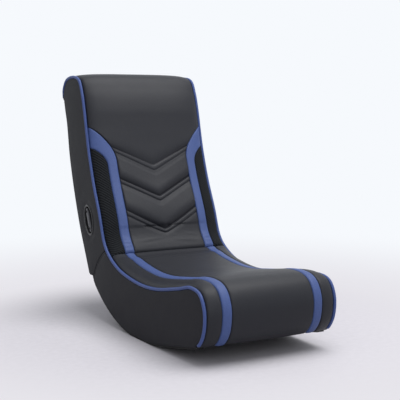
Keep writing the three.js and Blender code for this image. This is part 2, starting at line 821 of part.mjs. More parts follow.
// Frame of the back
const backRailShares = [
  ["back_top_rail", [0.43, 0.9]],
  ["back_middle_rail", [0.315, 0.52]],
];
const backRailWidth = 60;
const backRailLean = THREE.MathUtils.degToRad(70);
for (const [name, share] of backRailShares) {
  const [y, z] = sideView(share);
  const corners = box(-backRailWidth / 2, -backRail / 2, backRailWidth / 2, backRail / 2);
  const turned = corners.map(([u, v]) => [
    y + u * Math.cos(backRailLean) - v * Math.sin(backRailLean),
    z + u * Math.sin(backRailLean) + v * Math.cos(backRailLean),
  ]);
  beam(name, turned, backInside);
}

// Foam and webbing
const foamTop = 20; // from the end of the top roll
const foamFoot = Math.hypot(backRailStart, railFar) + coverThickness + foamFit; // from the corner
const foamSteps = 23;
const backFoamDrop = coverThickness + channelDepth + foamFit;
addPiece(
  "back_foam",
  padCover({
    rows: evenly(foamTop, corner - foamFoot, foamSteps),
    outer: () => backInside - foamFit,
    side: 0,
    columns: backColumns,
    thickness: backFoamThickness,
    drop: backFoamDrop,
  }),
  "foam",
);
const webbingCount = 4;
const webbingWidth = 50;
const webbingThickness = 2;
const webbingRise = 412; // from the corner up to the highest strip
const webbingPitch = 95;
const webbingSteps = 3;
for (let i = 0; i < webbingCount; i += 1) {
  const start = corner - webbingRise + i * webbingPitch;
  addPiece(
    `back_webbing_${i + 1}`,
    padCover({
      rows: evenly(start, start + webbingWidth, webbingSteps),
      outer: () => backInside,
      side: 0,
      columns: backColumns,
      thickness: webbingThickness,
      drop: backFoamDrop + backFoamThickness + foamFit,
    }),
    "webbing",
  );
}
const foamRear = 14; // from the corner to the seat foam
const foamFrontFoot = 16;
const bolsterInner = seatStripInner + seatStripWidth;
const coverReaches = [
  ...crowded(0, seatColumns / 2).map((share) => share * seatStripInner),
  ...crowded(0, stripColumns).slice(1).map((share) => mix(seatStripInner, bolsterInner, share)),
  ...crowded(0, bolsterColumns).slice(1).map((share) => mix(bolsterInner, padHalf, share)),
];
const foamStations = [...coverReaches.filter((reach) => reach < seatInside), seatInside];
const foamAcross = [...foamStations.slice(1).map((reach) => -reach).reverse(), ...foamStations];
const foamRows = seatRows.filter((row) => row > corner + foamRear && row < pipingEnd - foamFrontFoot);
// The covers are flat between their columns, and so is the foam under them
function coveredCrown(length, x) {
  const next = coverReaches.findIndex((reach) => reach >= Math.abs(x));
  const [low, high] = [coverReaches[Math.max(next - 1, 0)], coverReaches[next]];
  const share = high > low ? (Math.abs(x) - low) / (high - low) : 1;
  return mix(crownAt(length, low), crownAt(length, high), share);
}
function seatFoamOutline(x) {
  const from = foamRows[0];
  const to = foamRows.at(-1);
  const top = foamRows.map((length) => edge.at(length, coveredCrown(length, x) - coverThickness - foamFit));
  const [rearY] = edge.at(from, 0);
  const [, footZ] = edge.at(to, 0);
  return [
    ...top,
    [deckFront - fit, footZ],
    [deckFront - fit, deckTop + fit],
    [rearY, deckTop + fit],
  ];
}
addPiece("seat_foam", acrossLoft(foamAcross, seatFoamOutline), "foam");

// The origin lies on the floor under the middle of the chair
const bounds = new THREE.Box3().setFromObject(chair);
chair.position.y = -(bounds.min.y + bounds.max.y) / 2;

export default chair;
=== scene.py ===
# %% [markdown]
# A floor rocker chair for gaming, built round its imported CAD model. The CAD gives every board, hinge and
# runner its place. Blender adds what a CAD solid can't show: stuffed covers with rolled seams, sewn channels,
# piping, a moulded handle, cloth linings and the finishes of all of them. The model is loaded first, because
# each new piece is placed against it, and nothing in it is moved.

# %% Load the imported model
import math

import bmesh
import bpy
import mathutils.geometry
import numpy as np
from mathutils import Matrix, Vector


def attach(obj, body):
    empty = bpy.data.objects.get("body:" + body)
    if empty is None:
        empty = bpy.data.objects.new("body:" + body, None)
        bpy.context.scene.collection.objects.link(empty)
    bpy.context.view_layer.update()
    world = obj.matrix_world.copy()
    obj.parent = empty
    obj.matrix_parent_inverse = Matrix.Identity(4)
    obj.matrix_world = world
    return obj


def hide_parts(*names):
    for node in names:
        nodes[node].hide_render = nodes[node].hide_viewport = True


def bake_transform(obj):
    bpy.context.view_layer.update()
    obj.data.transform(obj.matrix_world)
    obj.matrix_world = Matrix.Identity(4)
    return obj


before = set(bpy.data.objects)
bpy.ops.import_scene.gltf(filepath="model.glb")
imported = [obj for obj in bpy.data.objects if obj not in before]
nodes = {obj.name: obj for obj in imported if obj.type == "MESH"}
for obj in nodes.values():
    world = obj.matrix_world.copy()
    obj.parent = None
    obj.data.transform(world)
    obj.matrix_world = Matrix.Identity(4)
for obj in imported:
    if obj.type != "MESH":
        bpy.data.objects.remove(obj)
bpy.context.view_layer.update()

# %% [markdown]
# The camera stands where the photographer stood: low, in front of the sitter's right side, with a long lens.
# A long lens keeps the near and far edges of the chair almost the same size. The place and the direction were
# worked out from known points of the chair, and a tracking quaternion turns the camera along the direction.

# %% Camera
scene = bpy.context.scene
scene.view_settings.view_transform = "Standard"
camera_data = bpy.data.cameras.new("camera")
camera_data.lens = 85.5
camera_data.sensor_width = 36
camera = bpy.data.objects.new("camera", camera_data)
camera.location = (-1.3168, -2.3864, 0.6378)
camera_way = Vector((0.4929, 0.8645, -0.0983))
camera.rotation_euler = camera_way.to_track_quat("-Z", "Y").to_euler()
scene.collection.objects.link(camera)
scene.camera = camera
print("camera height", round(camera.location.z, 3))

# %% [markdown]
# Everything soft on this chair follows one line in the side view: the piping, which runs from the top roll
# down the back, round the inner corner and over the seat to its front foot. It is a smooth line through
# chosen points. It could be a Bezier curve object, but a line worked out in numpy can be read at thousands
# of lengths at once, which the covers need.

# %% The piping line
mm = 0.001
SIDE_SIZE = np.array([0.896, 0.727])
SIDE_START = np.array([0.005705, 0.0])


def side_view(shares):
    """Points in the side view, as (y, z): shares of the line's depth and height, moved to the chair's
    middle."""
    return np.array(shares) * SIDE_SIZE + SIDE_START


def run_along(spots):
    """The length of a line of points from its start to each of them."""
    return np.concatenate([[0], np.cumsum(np.linalg.norm(np.diff(spots, axis=0), axis=1))])


class SideLine:
    """A smooth line through points of the side view, read by the length along it.
    Between two points it is a cubic. Its slopes at the points come from the neighbours on both sides, weighed
    by the square roots of their distances, so it doesn't overshoot where the points lie close."""

    def __init__(self, spots, count=6001):
        spots = np.asarray(spots, float)
        p = np.vstack([2 * spots[0] - spots[1], spots, 2 * spots[-1] - spots[-2]])
        step = np.linalg.norm(np.diff(p, axis=0), axis=1, keepdims=True) ** 0.5
        rise = np.diff(p, axis=0) / step
        wide = (p[2:] - p[:-2]) / (step[:-1] + step[1:])
        slope = rise[:-1] - wide + rise[1:]
        place = np.linspace(0, len(spots) - 1, count)
        k = np.minimum(place.astype(int), len(spots) - 2)
        t = (place - k)[:, None]
        a, b = spots[k], spots[k + 1]
        u, v = slope[k] * step[1:-1][k], slope[k + 1] * step[1:-1][k]
        self.spots = a + u * t + (3 * (b - a) - 2 * u - v) * t**2 + (2 * (a - b) + u + v) * t**3
        self.lengths = run_along(self.spots)
        self.length = self.lengths[-1]
        self.knots = np.interp(np.arange(len(spots)), place, self.lengths)
        self.ways = np.gradient(self.spots, self.lengths, axis=0)

    def at(self, length, rise=0.0):
        """Points at lengths, moved square to the line by rise: (y, z) along the last axis."""
        y, z = (np.interp(length, self.lengths, self.spots[:, i]) for i in (0, 1))
        dy, dz = (np.interp(length, self.lengths, self.ways[:, i]) for i in (0, 1))
        size = np.hypot(dy, dz)
        return np.stack([y + dz / size * rise, z - dy / size * rise], axis=-1)


edge = SideLine(side_view([
    [0.4905, 0.897], [0.499, 0.909], [0.4955, 0.941], [0.469, 0.985], [0.404, 1], [0.354, 0.984],
    [0.329, 0.93], [0.31, 0.857], [0.2925, 0.765], [0.2757, 0.687], [0.239, 0.56], [0.192, 0.435],
    [0.161, 0.337], [0.137, 0.3], [0.1015, 0.27], [0.0445, 0.2405], [-0.0257, 0.223], [-0.1228, 0.212],
    [-0.2165, 0.2175], [-0.347, 0.246], [-0.424, 0.2655], [-0.4743, 0.2515], [-0.4978, 0.2035],
    [-0.499, 0.1485], [-0.489, 0.11], [-0.473, 0.0825], [-0.461, 0.072],
]))
rear = SideLine(side_view([
    [0.4865, 0.89], [0.4795, 0.86], [0.464, 0.8], [0.443, 0.663], [0.405, 0.512], [0.356, 0.363],
    [0.316, 0.267], [0.279, 0.179],
]))
CORNER_KNOT, PIPING_KNOTS = 13, [1, 26]
corner = edge.knots[CORNER_KNOT]
piping_start, piping_end = edge.knots[PIPING_KNOTS]
PIPING_RADIUS = 4.5 * mm
PIN_LIFT = 0.3 * mm
pin = edge.at(corner, PIPING_RADIUS + PIN_LIFT)
print("line", round(edge.length, 4), "corner at", round(corner, 4), "pin", pin.round(5))

# %% [markdown]
# The padding stands out from that line by a crown: low at both edges, full across the middle, and drawn in
# where the back meets the seat. There the two pads press on each other and roll down into a crease. The
# back's pad hangs past the hinge, so the crease lies on the seat's side of it. The crown is a formula of two
# numbers, the length along the line and the place across the chair, so every cover can ask for its own height
# and neighbours always agree.

# %% Height of the padding
PAD_HALF = 190.7 * mm
SEAT_CROWN, BACK_CROWN = 30 * mm, 28 * mm
SEAT_SHARES = [[0, 1], [0.48, 1], [0.64, 0.86], [0.74, 0.56], [0.82, 0.42], [0.92, 0.33], [1, 0.2]]
BACK_SHARES = [[0, 0.15], [0.14, 0.32], [0.42, 1], [1, 1]]
DOME_FLATNESS, DOME_POWER = 4, 0.45
CREASE_HEIGHT, CREASE_SLOPE = 15.5 * mm, 0.42
CREASE_ROLL_SEAT, CREASE_ROLL_BACK = 11 * mm, 7 * mm
CREASE_SHIFT = 29 * mm
crease = corner + CREASE_SHIFT
STRAIGHT_FROM, STRAIGHT_HEIGHTS = crease - 95 * mm, (27.5 * mm, 15 * mm)
CREASE_POWER = 6
SOFTNESS = 5 * mm


def smooth(share):
    """A step from 0 to 1 without corners: three times the share's square less twice its cube."""
    share = np.clip(share, 0, 1)
    return share * share * (3 - 2 * share)


def soft_table(rows, place):
    """A value read off rows of (place, value), with a soft step from each row to the next."""
    at, value = np.array(rows).T
    k = np.clip(np.searchsorted(at, place, "right") - 1, 0, len(at) - 2)
    return value[k] + (value[k + 1] - value[k]) * smooth((place - at[k]) / (at[k + 1] - at[k]))


def rolled(distance, radius, depth):
    """How deep an edge lies under its surface: a quarter round of that radius, scaled to that depth."""
    share = 1 - np.clip(distance / radius, 0, 1)
    return depth * (1 - np.sqrt(1 - share**2))


def straight_heights(lengths):
    """Height over the line of a straight stroke that joins two points above it: the cross product of the
    gap to the stroke's first point with the stroke's direction, over the cross product of the line's normal
    with it."""
    first, last = edge.at(STRAIGHT_FROM, STRAIGHT_HEIGHTS[0]), edge.at(crease, STRAIGHT_HEIGHTS[1])
    spots, lifted = edge.at(lengths), edge.at(lengths, 1.0)
    (gap_y, gap_z), (normal_y, normal_z), (dy, dz) = (first - spots).T, (lifted - spots).T, last - first
    return (gap_y * dz - gap_z * dy) / (normal_y * dz - normal_z * dy)


straight_lengths = np.linspace(STRAIGHT_FROM, crease, 60)
straight = straight_heights(straight_lengths)


def crown(length, x):
    """Height over the line: the crown along the line, times a flat-topped dome across. The seat never rises
    above a slope from the crease, and the back runs straight down to it. The last few millimetres roll in."""
    seat = SEAT_CROWN * soft_table(SEAT_SHARES, (length - corner) / (edge.length - corner))
    back = BACK_CROWN * soft_table(BACK_SHARES, length / corner)
    across = (1 - np.minimum(np.abs(x) / PAD_HALF, 1) ** DOME_FLATNESS) ** DOME_POWER
    full = np.where(length > crease, seat, back) * across
    away = np.abs(length - crease)
    slope = CREASE_SLOPE * away + PIPING_RADIUS
    limit = (slope**CREASE_POWER + CREASE_HEIGHT**CREASE_POWER) ** (1 / CREASE_POWER)
    limit = np.where(length > crease, limit, np.interp(length, straight_lengths, straight, left=1.0))
    low = (full + limit - np.hypot(full - limit, SOFTNESS)) / 2
    roll = np.where(length > crease, CREASE_ROLL_SEAT, CREASE_ROLL_BACK)
    return low - rolled(away, roll, roll) * across


middle = crown(np.array([0.3, 0.9]), 0.0)
print("crown on the back and the seat, mm", (middle / mm).round(1))

# %% [markdown]
# Meshes come from grids. A grid of points gives its faces by counting: each point joins its right-hand and
# lower neighbours. Two grids, a top and an underside, closed by a rim make a shell with a real thickness.
# Blender could add the thickness with a Solidify modifier, but here the underside is needed as its own
# shape, so that a cover stays clear of what lies beneath it.

# %% From grids to meshes
WELD = 0.01 * mm


def grid_faces(rows, columns, start=0, wrap=False):
    """Four corners of each face of a grid whose points are numbered row by row. wrap joins the last column to
    the first."""
    index = np.arange(rows * columns).reshape(rows, columns) + start
    if wrap:
        index = np.hstack([index, index[:, :1]])
    return np.stack([index[:-1, :-1], index[1:, :-1], index[1:, 1:], index[:-1, 1:]], axis=-1).reshape(-1, 4)


def volume(spots, faces):
    """Signed volume: the sum over triangles of the corners' triple product, over six."""
    a, b, c, d = (spots[faces[:, i]] for i in range(4))
    return (np.einsum("ij,ij->i", a, np.cross(b, c)) + np.einsum("ij,ij->i", a, np.cross(c, d))).sum() / 6


def linked(name, mesh):
    """A new object at the origin that shows a mesh."""
    made = bpy.data.objects.new(name, mesh)
    scene.collection.objects.link(made)
    return made


def piece(name, spots, faces, finish, uv=None, weld=False, sharp=50):
    """A mesh object. Faces are turned to point outwards, and shaded smooth up to the sharp angle. A triangle
    is given as four corners with its last one twice, and is stored as three."""
    if volume(spots, faces) < 0:
        faces = faces[:, ::-1]
    mesh = bpy.data.meshes.new(name)
    mesh.from_pydata(spots.tolist(), [], [list(dict.fromkeys(face)) for face in faces.tolist()])
    layer = mesh.uv_layers.new(name="cut")
    loops = np.zeros(len(mesh.loops), int)
    mesh.loops.foreach_get("vertex_index", loops)
    flat = spots[:, :2] if uv is None else uv
    layer.data.foreach_set("uv", flat[loops].astype(np.float32).ravel())
    if weld:
        welded = bmesh.new()
        welded.from_mesh(mesh)
        bmesh.ops.remove_doubles(welded, verts=welded.verts, dist=WELD)
        welded.to_mesh(mesh)
        welded.free()
    mesh.polygons.foreach_set("use_smooth", np.ones(len(mesh.polygons), bool))
    mesh.set_sharp_from_angle(angle=math.radians(sharp))
    mesh.materials.append(finish)
    return linked(name, mesh)


def closed(name, rings, finish, uv=None, sharp=50):
    """A piece from rings of points. Each ring joins the next, and a ring whose points meet closes an end."""
    uv = None if uv is None else uv.reshape(-1, 2)
    return piece(name, rings.reshape(-1, 3), grid_faces(*rings.shape[:2], wrap=True), finish, uv, True, sharp)


def shell(name, top, under, uv, finish):
    """A closed sheet between two grids of the same shape: both grids, and a rim round their edges."""
    rows, columns = top.shape[:2]
    count = rows * columns
    index = np.arange(count).reshape(rows, columns)
    ring = np.concatenate([index[0], index[1:, -1], index[-1, -2::-1], index[-2:0:-1, 0]])
    after = np.roll(ring, -1)
    rim = np.stack([ring, after, after + count, ring + count], axis=-1)
    faces = np.vstack([grid_faces(rows, columns), grid_faces(rows, columns, count)[:, ::-1], rim])
    spots = np.vstack([top.reshape(-1, 3), under.reshape(-1, 3)])
    return piece(name, spots, faces, finish, np.vstack([uv.reshape(-1, 2)] * 2))


def grid_normals(top):
    """Unit vectors square to both directions of a grid."""
    normal = np.cross(np.gradient(top, axis=0), np.gradient(top, axis=1))
    return normal / np.maximum(np.linalg.norm(normal, axis=-1, keepdims=True), 1e-12)


def with_x(x, flat):
    """Points of the side view, given their places across the chair."""
    return np.concatenate([np.broadcast_to(x, flat.shape[:-1])[..., None], flat], axis=-1)


# %% [markdown]
# Finishes are node trees. To keep their sums readable, a small class wraps one output of a node and gives
# it plus, minus and times, so that `1 - mask` adds the right Math node by itself. A second class holds one
# tree and has one method that makes any node, and a third adds what only a material has.

# %% Writing shader sums


class Signal:
    """One output of a shader node. An expression on signals adds its Math nodes."""

    def __init__(self, paint, socket):
        self.paint, self.socket = paint, socket

    def maths(self, operation, *others):
        """A Math node on this signal and the other values that its operation takes."""
        return self.paint.node("ShaderNodeMath", {"operation": operation}, dict(enumerate((self, *others))))

    def __add__(self, other):
        return self.maths("ADD", other)

    def __sub__(self, other):
        return self.maths("SUBTRACT", other)

    def __rsub__(self, other):
        return self.paint.node("ShaderNodeMath", {"operation": "SUBTRACT"}, {0: other, 1: self})

    def __mul__(self, other):
        return self.maths("MULTIPLY", other)

    def __pow__(self, other):
        return self.maths("POWER", other)

    __radd__, __rmul__ = __add__, __mul__


class Tree:
    """A node tree."""

    def __init__(self, tree):
        self.tree = tree

    def node(self, kind, settings=None, inputs=None, out=0):
        """Adds a node: its settings first, then a number, a colour or a signal for each named input."""
        made = self.tree.nodes.new(kind)
        for key, value in (settings or {}).items():
            setattr(made, key, value)
        for key, value in (inputs or {}).items():
            if isinstance(value, Signal):
                self.tree.links.new(value.socket, made.inputs[key])
            else:
                made.inputs[key].default_value = value
        return Signal(self, made.outputs[out])

    def seen(self):
        """1 for a ray from the camera, off a glossy surface or through a clear one, else 0."""
        camera, glossy, clear = [self.node("ShaderNodeLightPath", out=out) for out in
                                 ("Is Camera Ray", "Is Glossy Ray", "Is Transmission Ray")]
        return camera.maths("MAXIMUM", glossy.maths("MAXIMUM", clear))


class Paint(Tree):
    """A material and its nodes."""

    def __init__(self, name):
        self.material = bpy.data.materials.new(name)
        self.material.use_nodes = True
        super().__init__(self.material.node_tree)
        self.shader = self.tree.nodes["Principled BSDF"]

    def place(self, on="Object"):
        """Where a point lies: in the piece's own space in metres, or in its UV map."""
        return self.node("ShaderNodeTexCoord", out=on)

    def noise(self, place, scale, detail=2.0, roughness=0.5):
        """Soft noise between 0 and 1, with about scale lumps to a metre."""
        inputs = {"Vector": place, "Scale": scale, "Detail": detail, "Roughness": roughness}
        return self.node("ShaderNodeTexNoise", {}, inputs)

    def stretched(self, place, size, turn=(0, 0, 0)):
        """A place turned and scaled, so that a pattern on it runs along one way."""
        return self.node("ShaderNodeMapping", {}, {"Vector": place, "Rotation": turn, "Scale": size})

    def blend(self, share, low, high):
        """A colour between two colours."""
        return self.node("ShaderNodeMix", {"data_type": "RGBA"}, {0: share, 6: low, 7: high}, out=2)

    def finish(self, colour, roughness, height=None, depth=0.0, **plain):
        """Joins the varying values to the shader and sets the plain ones on its own sockets. A height goes
        through a Bump node."""
        for key, value in [("Base Color", colour), ("Roughness", roughness)]:
            if isinstance(value, Signal):
                self.tree.links.new(value.socket, self.shader.inputs[key])
            else:
                self.shader.inputs[key].default_value = value
        for key, value in plain.items():
            self.shader.inputs[key.replace("_", " ")].default_value = value
        if height is not None:
            bump = self.node("ShaderNodeBump", {}, {"Height": height, "Distance": depth, "Strength": 1.0})
            self.tree.links.new(bump.socket, self.shader.inputs["Normal"])
        return self.material


def colour(red, green, blue):
    """A colour written as it looks on a screen, 0 to 255, turned into the linear values that nodes take."""
    share = np.array([red, green, blue]) / 255
    linear = np.where(share <= 0.04045, share / 12.92, ((share + 0.055) / 1.055) ** 2.4)
    return (*linear.tolist(), 1.0)


def shaded(tone, share):
    """A colour with its light multiplied by a share."""
    return (*(part * share for part in tone[:3]), 1.0)


# %% [markdown]
# The covers are artificial leather: cloth with a plastic skin, pressed with a pebbled grain about a
# millimetre and a half across. A Voronoi pattern's distance to its cell edges gives the creases between
# pebbles, and slow noise gives the unevenness of a stretched skin. The grain reads the cover's own UV map,
# cut in metres, so it bends with the cover and has one size everywhere.

# %% Artificial leather
PEBBLES_PER_METRE, PEBBLE_BEND, LEATHER_DEPTH = 640.0, 1.2 * mm, 0.35 * mm


def leather(name, tone, on="UV", roughness=0.46, level=0.3):
    """Leather of a tone, mottled by two slow noises. The creases between pebbles are rougher, and painted
    shade darkens them.
    """
    paint = Paint(name)
    place = paint.place(on)
    drift = paint.noise(place, 260.0, 1.0)
    bent = paint.node("ShaderNodeVectorMath", {"operation": "MULTIPLY_ADD"},
                      {0: drift, 1: (PEBBLE_BEND,) * 3, 2: place})
    grain = paint.node("ShaderNodeTexVoronoi", {"feature": "DISTANCE_TO_EDGE"},
                       {"Vector": bent, "Scale": PEBBLES_PER_METRE})
    pebble = paint.node("ShaderNodeMapRange", {"interpolation_type": "SMOOTHSTEP"},
                        {"Value": grain, "From Min": 0.0, "From Max": 0.32})
    waves = paint.noise(place, 38.0, 3.0)
    broad = paint.noise(place, 9.0, 2.0)
    mottle = waves * 0.5 + broad * 0.5
    tint = paint.blend(mottle, shaded(tone, 0.84), shaded(tone, 1.16))
    # Painted shade: the creases between pebbles take 0.7 of the tone's light.
    crease_shaded = paint.blend(pebble, shaded(tone, 0.7), tint)
    rough = roughness + (mottle - 0.5) * 0.16 + (1 - pebble) * 0.08
    height = pebble * 0.16 + waves * 0.9
    return paint.finish(crease_shaded, rough, height, LEATHER_DEPTH, Specular_IOR_Level=level)


black_leather = leather("black_leather", colour(36, 37, 43), roughness=0.43, level=0.24)
blue_leather = leather("blue_leather", colour(70, 89, 142), roughness=0.5)
# The sides are the same black leather in a darker tone with less gloss: painted shade, since the sides take
# less light than the front and back.
shaded_side_leather = leather("shaded_side_leather", colour(33, 33, 38), on="Object", roughness=0.46, level=0.11)
blue_edging = leather("blue_edging", colour(66, 85, 142), roughness=0.45)
print("leathers made")

# %% [markdown]
# The panels beside the back are a ribbed fabric: fine diagonal cords in near-black. A wave of the UV map,
# turned by the cords' angle, gives them, and finer noise breaks up the threads. The grooves between the
# cords are darkened almost to black: painted shade.

# %% Ribbed fabric
RIB_PITCH, RIB_TURN = 6.4 * mm, math.radians(-43)
paint = Paint("ribbed_fabric")
place = paint.place("UV")
turned = paint.stretched(place, (1, 1, 1), (0, 0, RIB_TURN))
across = paint.node("ShaderNodeSeparateXYZ", {}, {"Vector": turned}, out=1) * (2 * math.pi / RIB_PITCH)
raised = (across.maths("SINE") * 0.5 + 0.5) ** 0.7
thread = paint.noise(paint.stretched(turned, (900, 2600, 1)), 1.0, 2.0)
patch = paint.noise(place, 30.0, 2.0)
# Painted shade: the colour falls to near black in the grooves between the cords.
shade = paint.blend(raised * 0.75 + thread * 0.25, colour(4, 4, 5), colour(29, 32, 36))
relief = raised * 0.8 + thread * 0.12 + patch * 0.3
ribbed_fabric = paint.finish(shade, thread * 0.14 + 0.78, relief, 1.4 * mm, Specular_IOR_Level=0.16)
print("rib pitch mm", RIB_PITCH / mm)

# %% [markdown]
# The hidden faces are closed with a black lining cloth, a plain weave: two waves at right angles, each
# standing up where the other dips. Sewing thread and webbing use finer and coarser versions of the same idea.

# %% Linings, thread and webbing


def woven(name, pitch, low, high, on="UV", depth=0.2 * mm, roughness=0.9):
    """Cloth whose height and colour are the product of two sine waves, with fuzz from fine noise."""
    paint = Paint(name)
    parts = [paint.node("ShaderNodeSeparateXYZ", {}, {"Vector": paint.place(on)}, out=i) for i in (0, 1)]
    warp, weft = [(part * (math.pi / pitch)).maths("SINE") for part in parts]
    over = (warp * weft) * 0.5 + 0.5
    fuzz = paint.noise(paint.place(on), 900.0, 2.0)
    shade = paint.blend(over * 0.6 + fuzz * 0.4, low, high)
    rough = roughness + (fuzz - 0.5) * 0.1
    return paint.finish(shade, rough, over + fuzz * 0.5, depth, Specular_IOR_Level=0.25)


lining = woven("lining_cloth", 1.1 * mm, colour(16, 16, 18), colour(38, 38, 41))
thread = woven("black_thread", 0.5 * mm, colour(24, 24, 27), colour(48, 48, 53), "Object", 0.1 * mm, 0.6)
webbing = woven("elastic_webbing", 2.5 * mm, colour(38, 38, 40), colour(80, 80, 84), depth=0.6 * mm)
print("cloths made")

# %% [markdown]
# Plywood shows long grain on its faces and stripes of plies on its cut edges. The boards stand in the side
# view, so their plies are layers along X: a wave of X shows only where a saw has cut across it. The boards
# and rails that can be glimpsed where the back folds away are stained black.

# %% Wood, steel, plastic and rubber
PLY = 1.5 * mm


def plywood(name, low=colour(140, 104, 66), high=colour(206, 172, 124)):
    """Wood between two colours: noise drawn out along Y is its grain, and a sine wave of X its plies."""
    paint = Paint(name)
    place = paint.place()
    grain = paint.noise(paint.stretched(place, (40, 9, 130)), 1.0, 5.0, 0.62)
    layer = paint.node("ShaderNodeSeparateXYZ", {}, {"Vector": place}, out=0)
    ply = (layer * (math.pi / PLY)).maths("SINE")
    mix = grain * 0.8 + ply * 0.12 + 0.06
    return paint.finish(paint.blend(mix, low, high), 0.62 + grain * 0.2, grain, 0.3 * mm)


def steel(name, tone, roughness=0.34):
    """Brushed metal: fine noise drawn out along X, and spots in its tone and gloss."""
    paint = Paint(name)
    place = paint.place()
    brushed = paint.noise(paint.stretched(place, (60, 900, 900)), 1.0, 3.0)
    spots = paint.noise(place, 160.0, 2.0)
    rough = roughness + (brushed - 0.5) * 0.25 + (spots - 0.5) * 0.2
    return paint.finish(paint.blend(spots, shaded(tone, 0.7), tone), rough, brushed, 0.05 * mm, Metallic=1.0)


def moulded(name, tone, roughness, depth, level=0.5):
    """Plastic or rubber of a tone, with fine pits and a slow drift where it flowed into the mould."""
    paint = Paint(name)
    place = paint.place()
    pits = paint.noise(place, 1400.0, 2.0)
    flow = paint.noise(place, 45.0, 2.0)
    shade = paint.blend(flow, shaded(tone, 0.85), shaded(tone, 1.15))
    rough = roughness + (pits - 0.5) * 0.14 + (flow - 0.5) * 0.12
    return paint.finish(shade, rough, pits, depth, Specular_IOR_Level=level)


ply = plywood("plywood")
stained_ply = plywood("black_stained_plywood", colour(20, 19, 19), colour(46, 44, 43))
zinc = steel("zinc_plated_steel", colour(176, 178, 182))
dark_screw = steel("black_screw_steel", colour(44, 44, 46), 0.45)
plastic = moulded("black_plastic", colour(30, 30, 33), 0.32, 0.12 * mm)
grip_plastic = moulded("grip_plastic", colour(66, 66, 71), 0.42, 0.12 * mm)
rubber = moulded("rubber", colour(24, 24, 25), 0.8, 0.3 * mm, 0.3)
kinds = [("leaf", zinc), ("hinge_pin", zinc), ("runner", rubber), ("hinge_rail", stained_ply),
         ("side_board", stained_ply)]
for name, node in nodes.items():
    finish = next((made for part, made in kinds if part in name), ply)
    node.data.materials.clear()
    node.data.materials.append(finish)
print("CAD nodes have their finishes")

# %% [markdown]
# A cover is cut as a panel, sewn to its neighbours with both edges turned down into the seam, and pulled over
# foam. Its shape is therefore the crown, with a rolled edge along every seam and a slight puff between. The
# cushion fabric isn't smooth: it is a little longer than the foam under it and gathers at the seams. A cloth
# simulation finds those folds: the panel is held along its seams, given some slack and blown up gently. Only
# part of the movement is kept, and it is capped, so the panel keeps the place that the crown gives it.

# %% Cloth simulation of a panel
SLACK, PRESSURE, FRAMES = 0.018, 3.0, 20
CAP_OUT, CAP_IN = 6 * mm, 1.6 * mm
BLUR_REACH = 5
FOLD_SHARE, SWELL_SHARE, SIDEWAYS_SHARE = 0.9, 0.25, 0.5


def blurred(grid, reach):
    """A grid averaged over its neighbours on both axes, with weights that fall off from the middle."""
    weights = np.hanning(2 * reach + 3)[1:-1]
    weights /= weights.sum()
    for axis in (0, 1):
        padded = np.pad(grid, [(reach, reach) if i == axis else (0, 0) for i in range(grid.ndim)], "edge")
        count = grid.shape[axis]
        grid = sum(w * np.take(padded, range(i, i + count), axis) for i, w in enumerate(weights))
    return grid


def settled(spots, held):
    """How far each point of a grid moves, held where held is true, when it is a cloth with slack under
    pressure. The mesh is thrown away, and its last shape is what the cover takes."""
    rows, columns = spots.shape[:2]
    mesh = bpy.data.meshes.new("cloth")
    mesh.from_pydata(spots.reshape(-1, 3).tolist(), [], grid_faces(rows, columns).tolist())
    cloth = linked("cloth", mesh)
    group = cloth.vertex_groups.new(name="held")
    group.add(np.flatnonzero(held.ravel()).tolist(), 1.0, "ADD")
    modifier = cloth.modifiers.new("cloth", "CLOTH")
    modifier.point_cache.frame_start, modifier.point_cache.frame_end = 1, FRAMES
    settings = modifier.settings
    settings.quality = 6
    settings.mass = 0.25
    settings.tension_stiffness = settings.compression_stiffness = 30
    settings.shear_stiffness = 12
    settings.bending_stiffness = 1.2
    settings.vertex_group_mass = "held"
    settings.use_pressure = True
    settings.uniform_pressure_force = PRESSURE
    settings.shrink_min = -SLACK
    settings.effector_weights.gravity = 0
    for number in range(1, FRAMES + 1):
        scene.frame_set(number)
    shown = cloth.evaluated_get(bpy.context.evaluated_depsgraph_get()).data
    moved = np.zeros(rows * columns * 3)
    shown.vertices.foreach_get("co", moved)
    bpy.data.objects.remove(cloth)
    bpy.data.meshes.remove(mesh)
    scene.frame_set(1)
    return moved.reshape(rows, columns, 3) - spots


def kept_folds(move, normal):
    """The part of a simulated movement that a cover keeps: the folds, which are what a blur takes away, and a
    quarter of the swelling, capped along the surface's normal."""
    swelling = blurred(move, BLUR_REACH)
    part = (move - swelling) * FOLD_SHARE + swelling * SWELL_SHARE
    out = np.einsum("ijk,ijk->ij", part, normal)[..., None]
    sideways = np.clip(part - out * normal, -CAP_IN, CAP_IN)
    return np.clip(out, -CAP_IN, CAP_OUT) * normal + sideways * SIDEWAYS_SHARE


print("cloth runs", FRAMES, "frames a panel")

# %% [markdown]
# The blocks fold together about the inner corner, and the covers there are one skin over both: real fabric
# bends at the fold instead of opening. Every cover on the padding and the piping is left where it is made, on
# neither body. All other pieces ride on one body.

# %% Which body a piece follows
corner_way = edge.at(corner + mm) - edge.at(corner - mm)
corner_way /= np.linalg.norm(corner_way)


def named(made, replaced):
    """Hides the CAD nodes that a piece stands for."""
    if replaced:
        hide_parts(*replaced)
    return made


def bends(made, slot, *replaced):
    """A piece whose points are baked into world space, so that it stays where it is made, on neither body."""
    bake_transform(made)
    return named(made, replaced)


def rides(made, body, slot, *replaced):
    """A piece that moves with one body."""
    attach(made, body)
    return named(made, replaced)


# %% [markdown]
# One function makes every cover. It lays a grid over the panel: rows are lengths along the piping line and
# columns are shares of the panel's width, crowded at the seams. Rows may hang down in the middle, which turns
# a straight channel into a chevron. Before it is simulated the panel is shaken a little, since a cloth that
# starts perfectly smooth has no reason to fold anywhere.

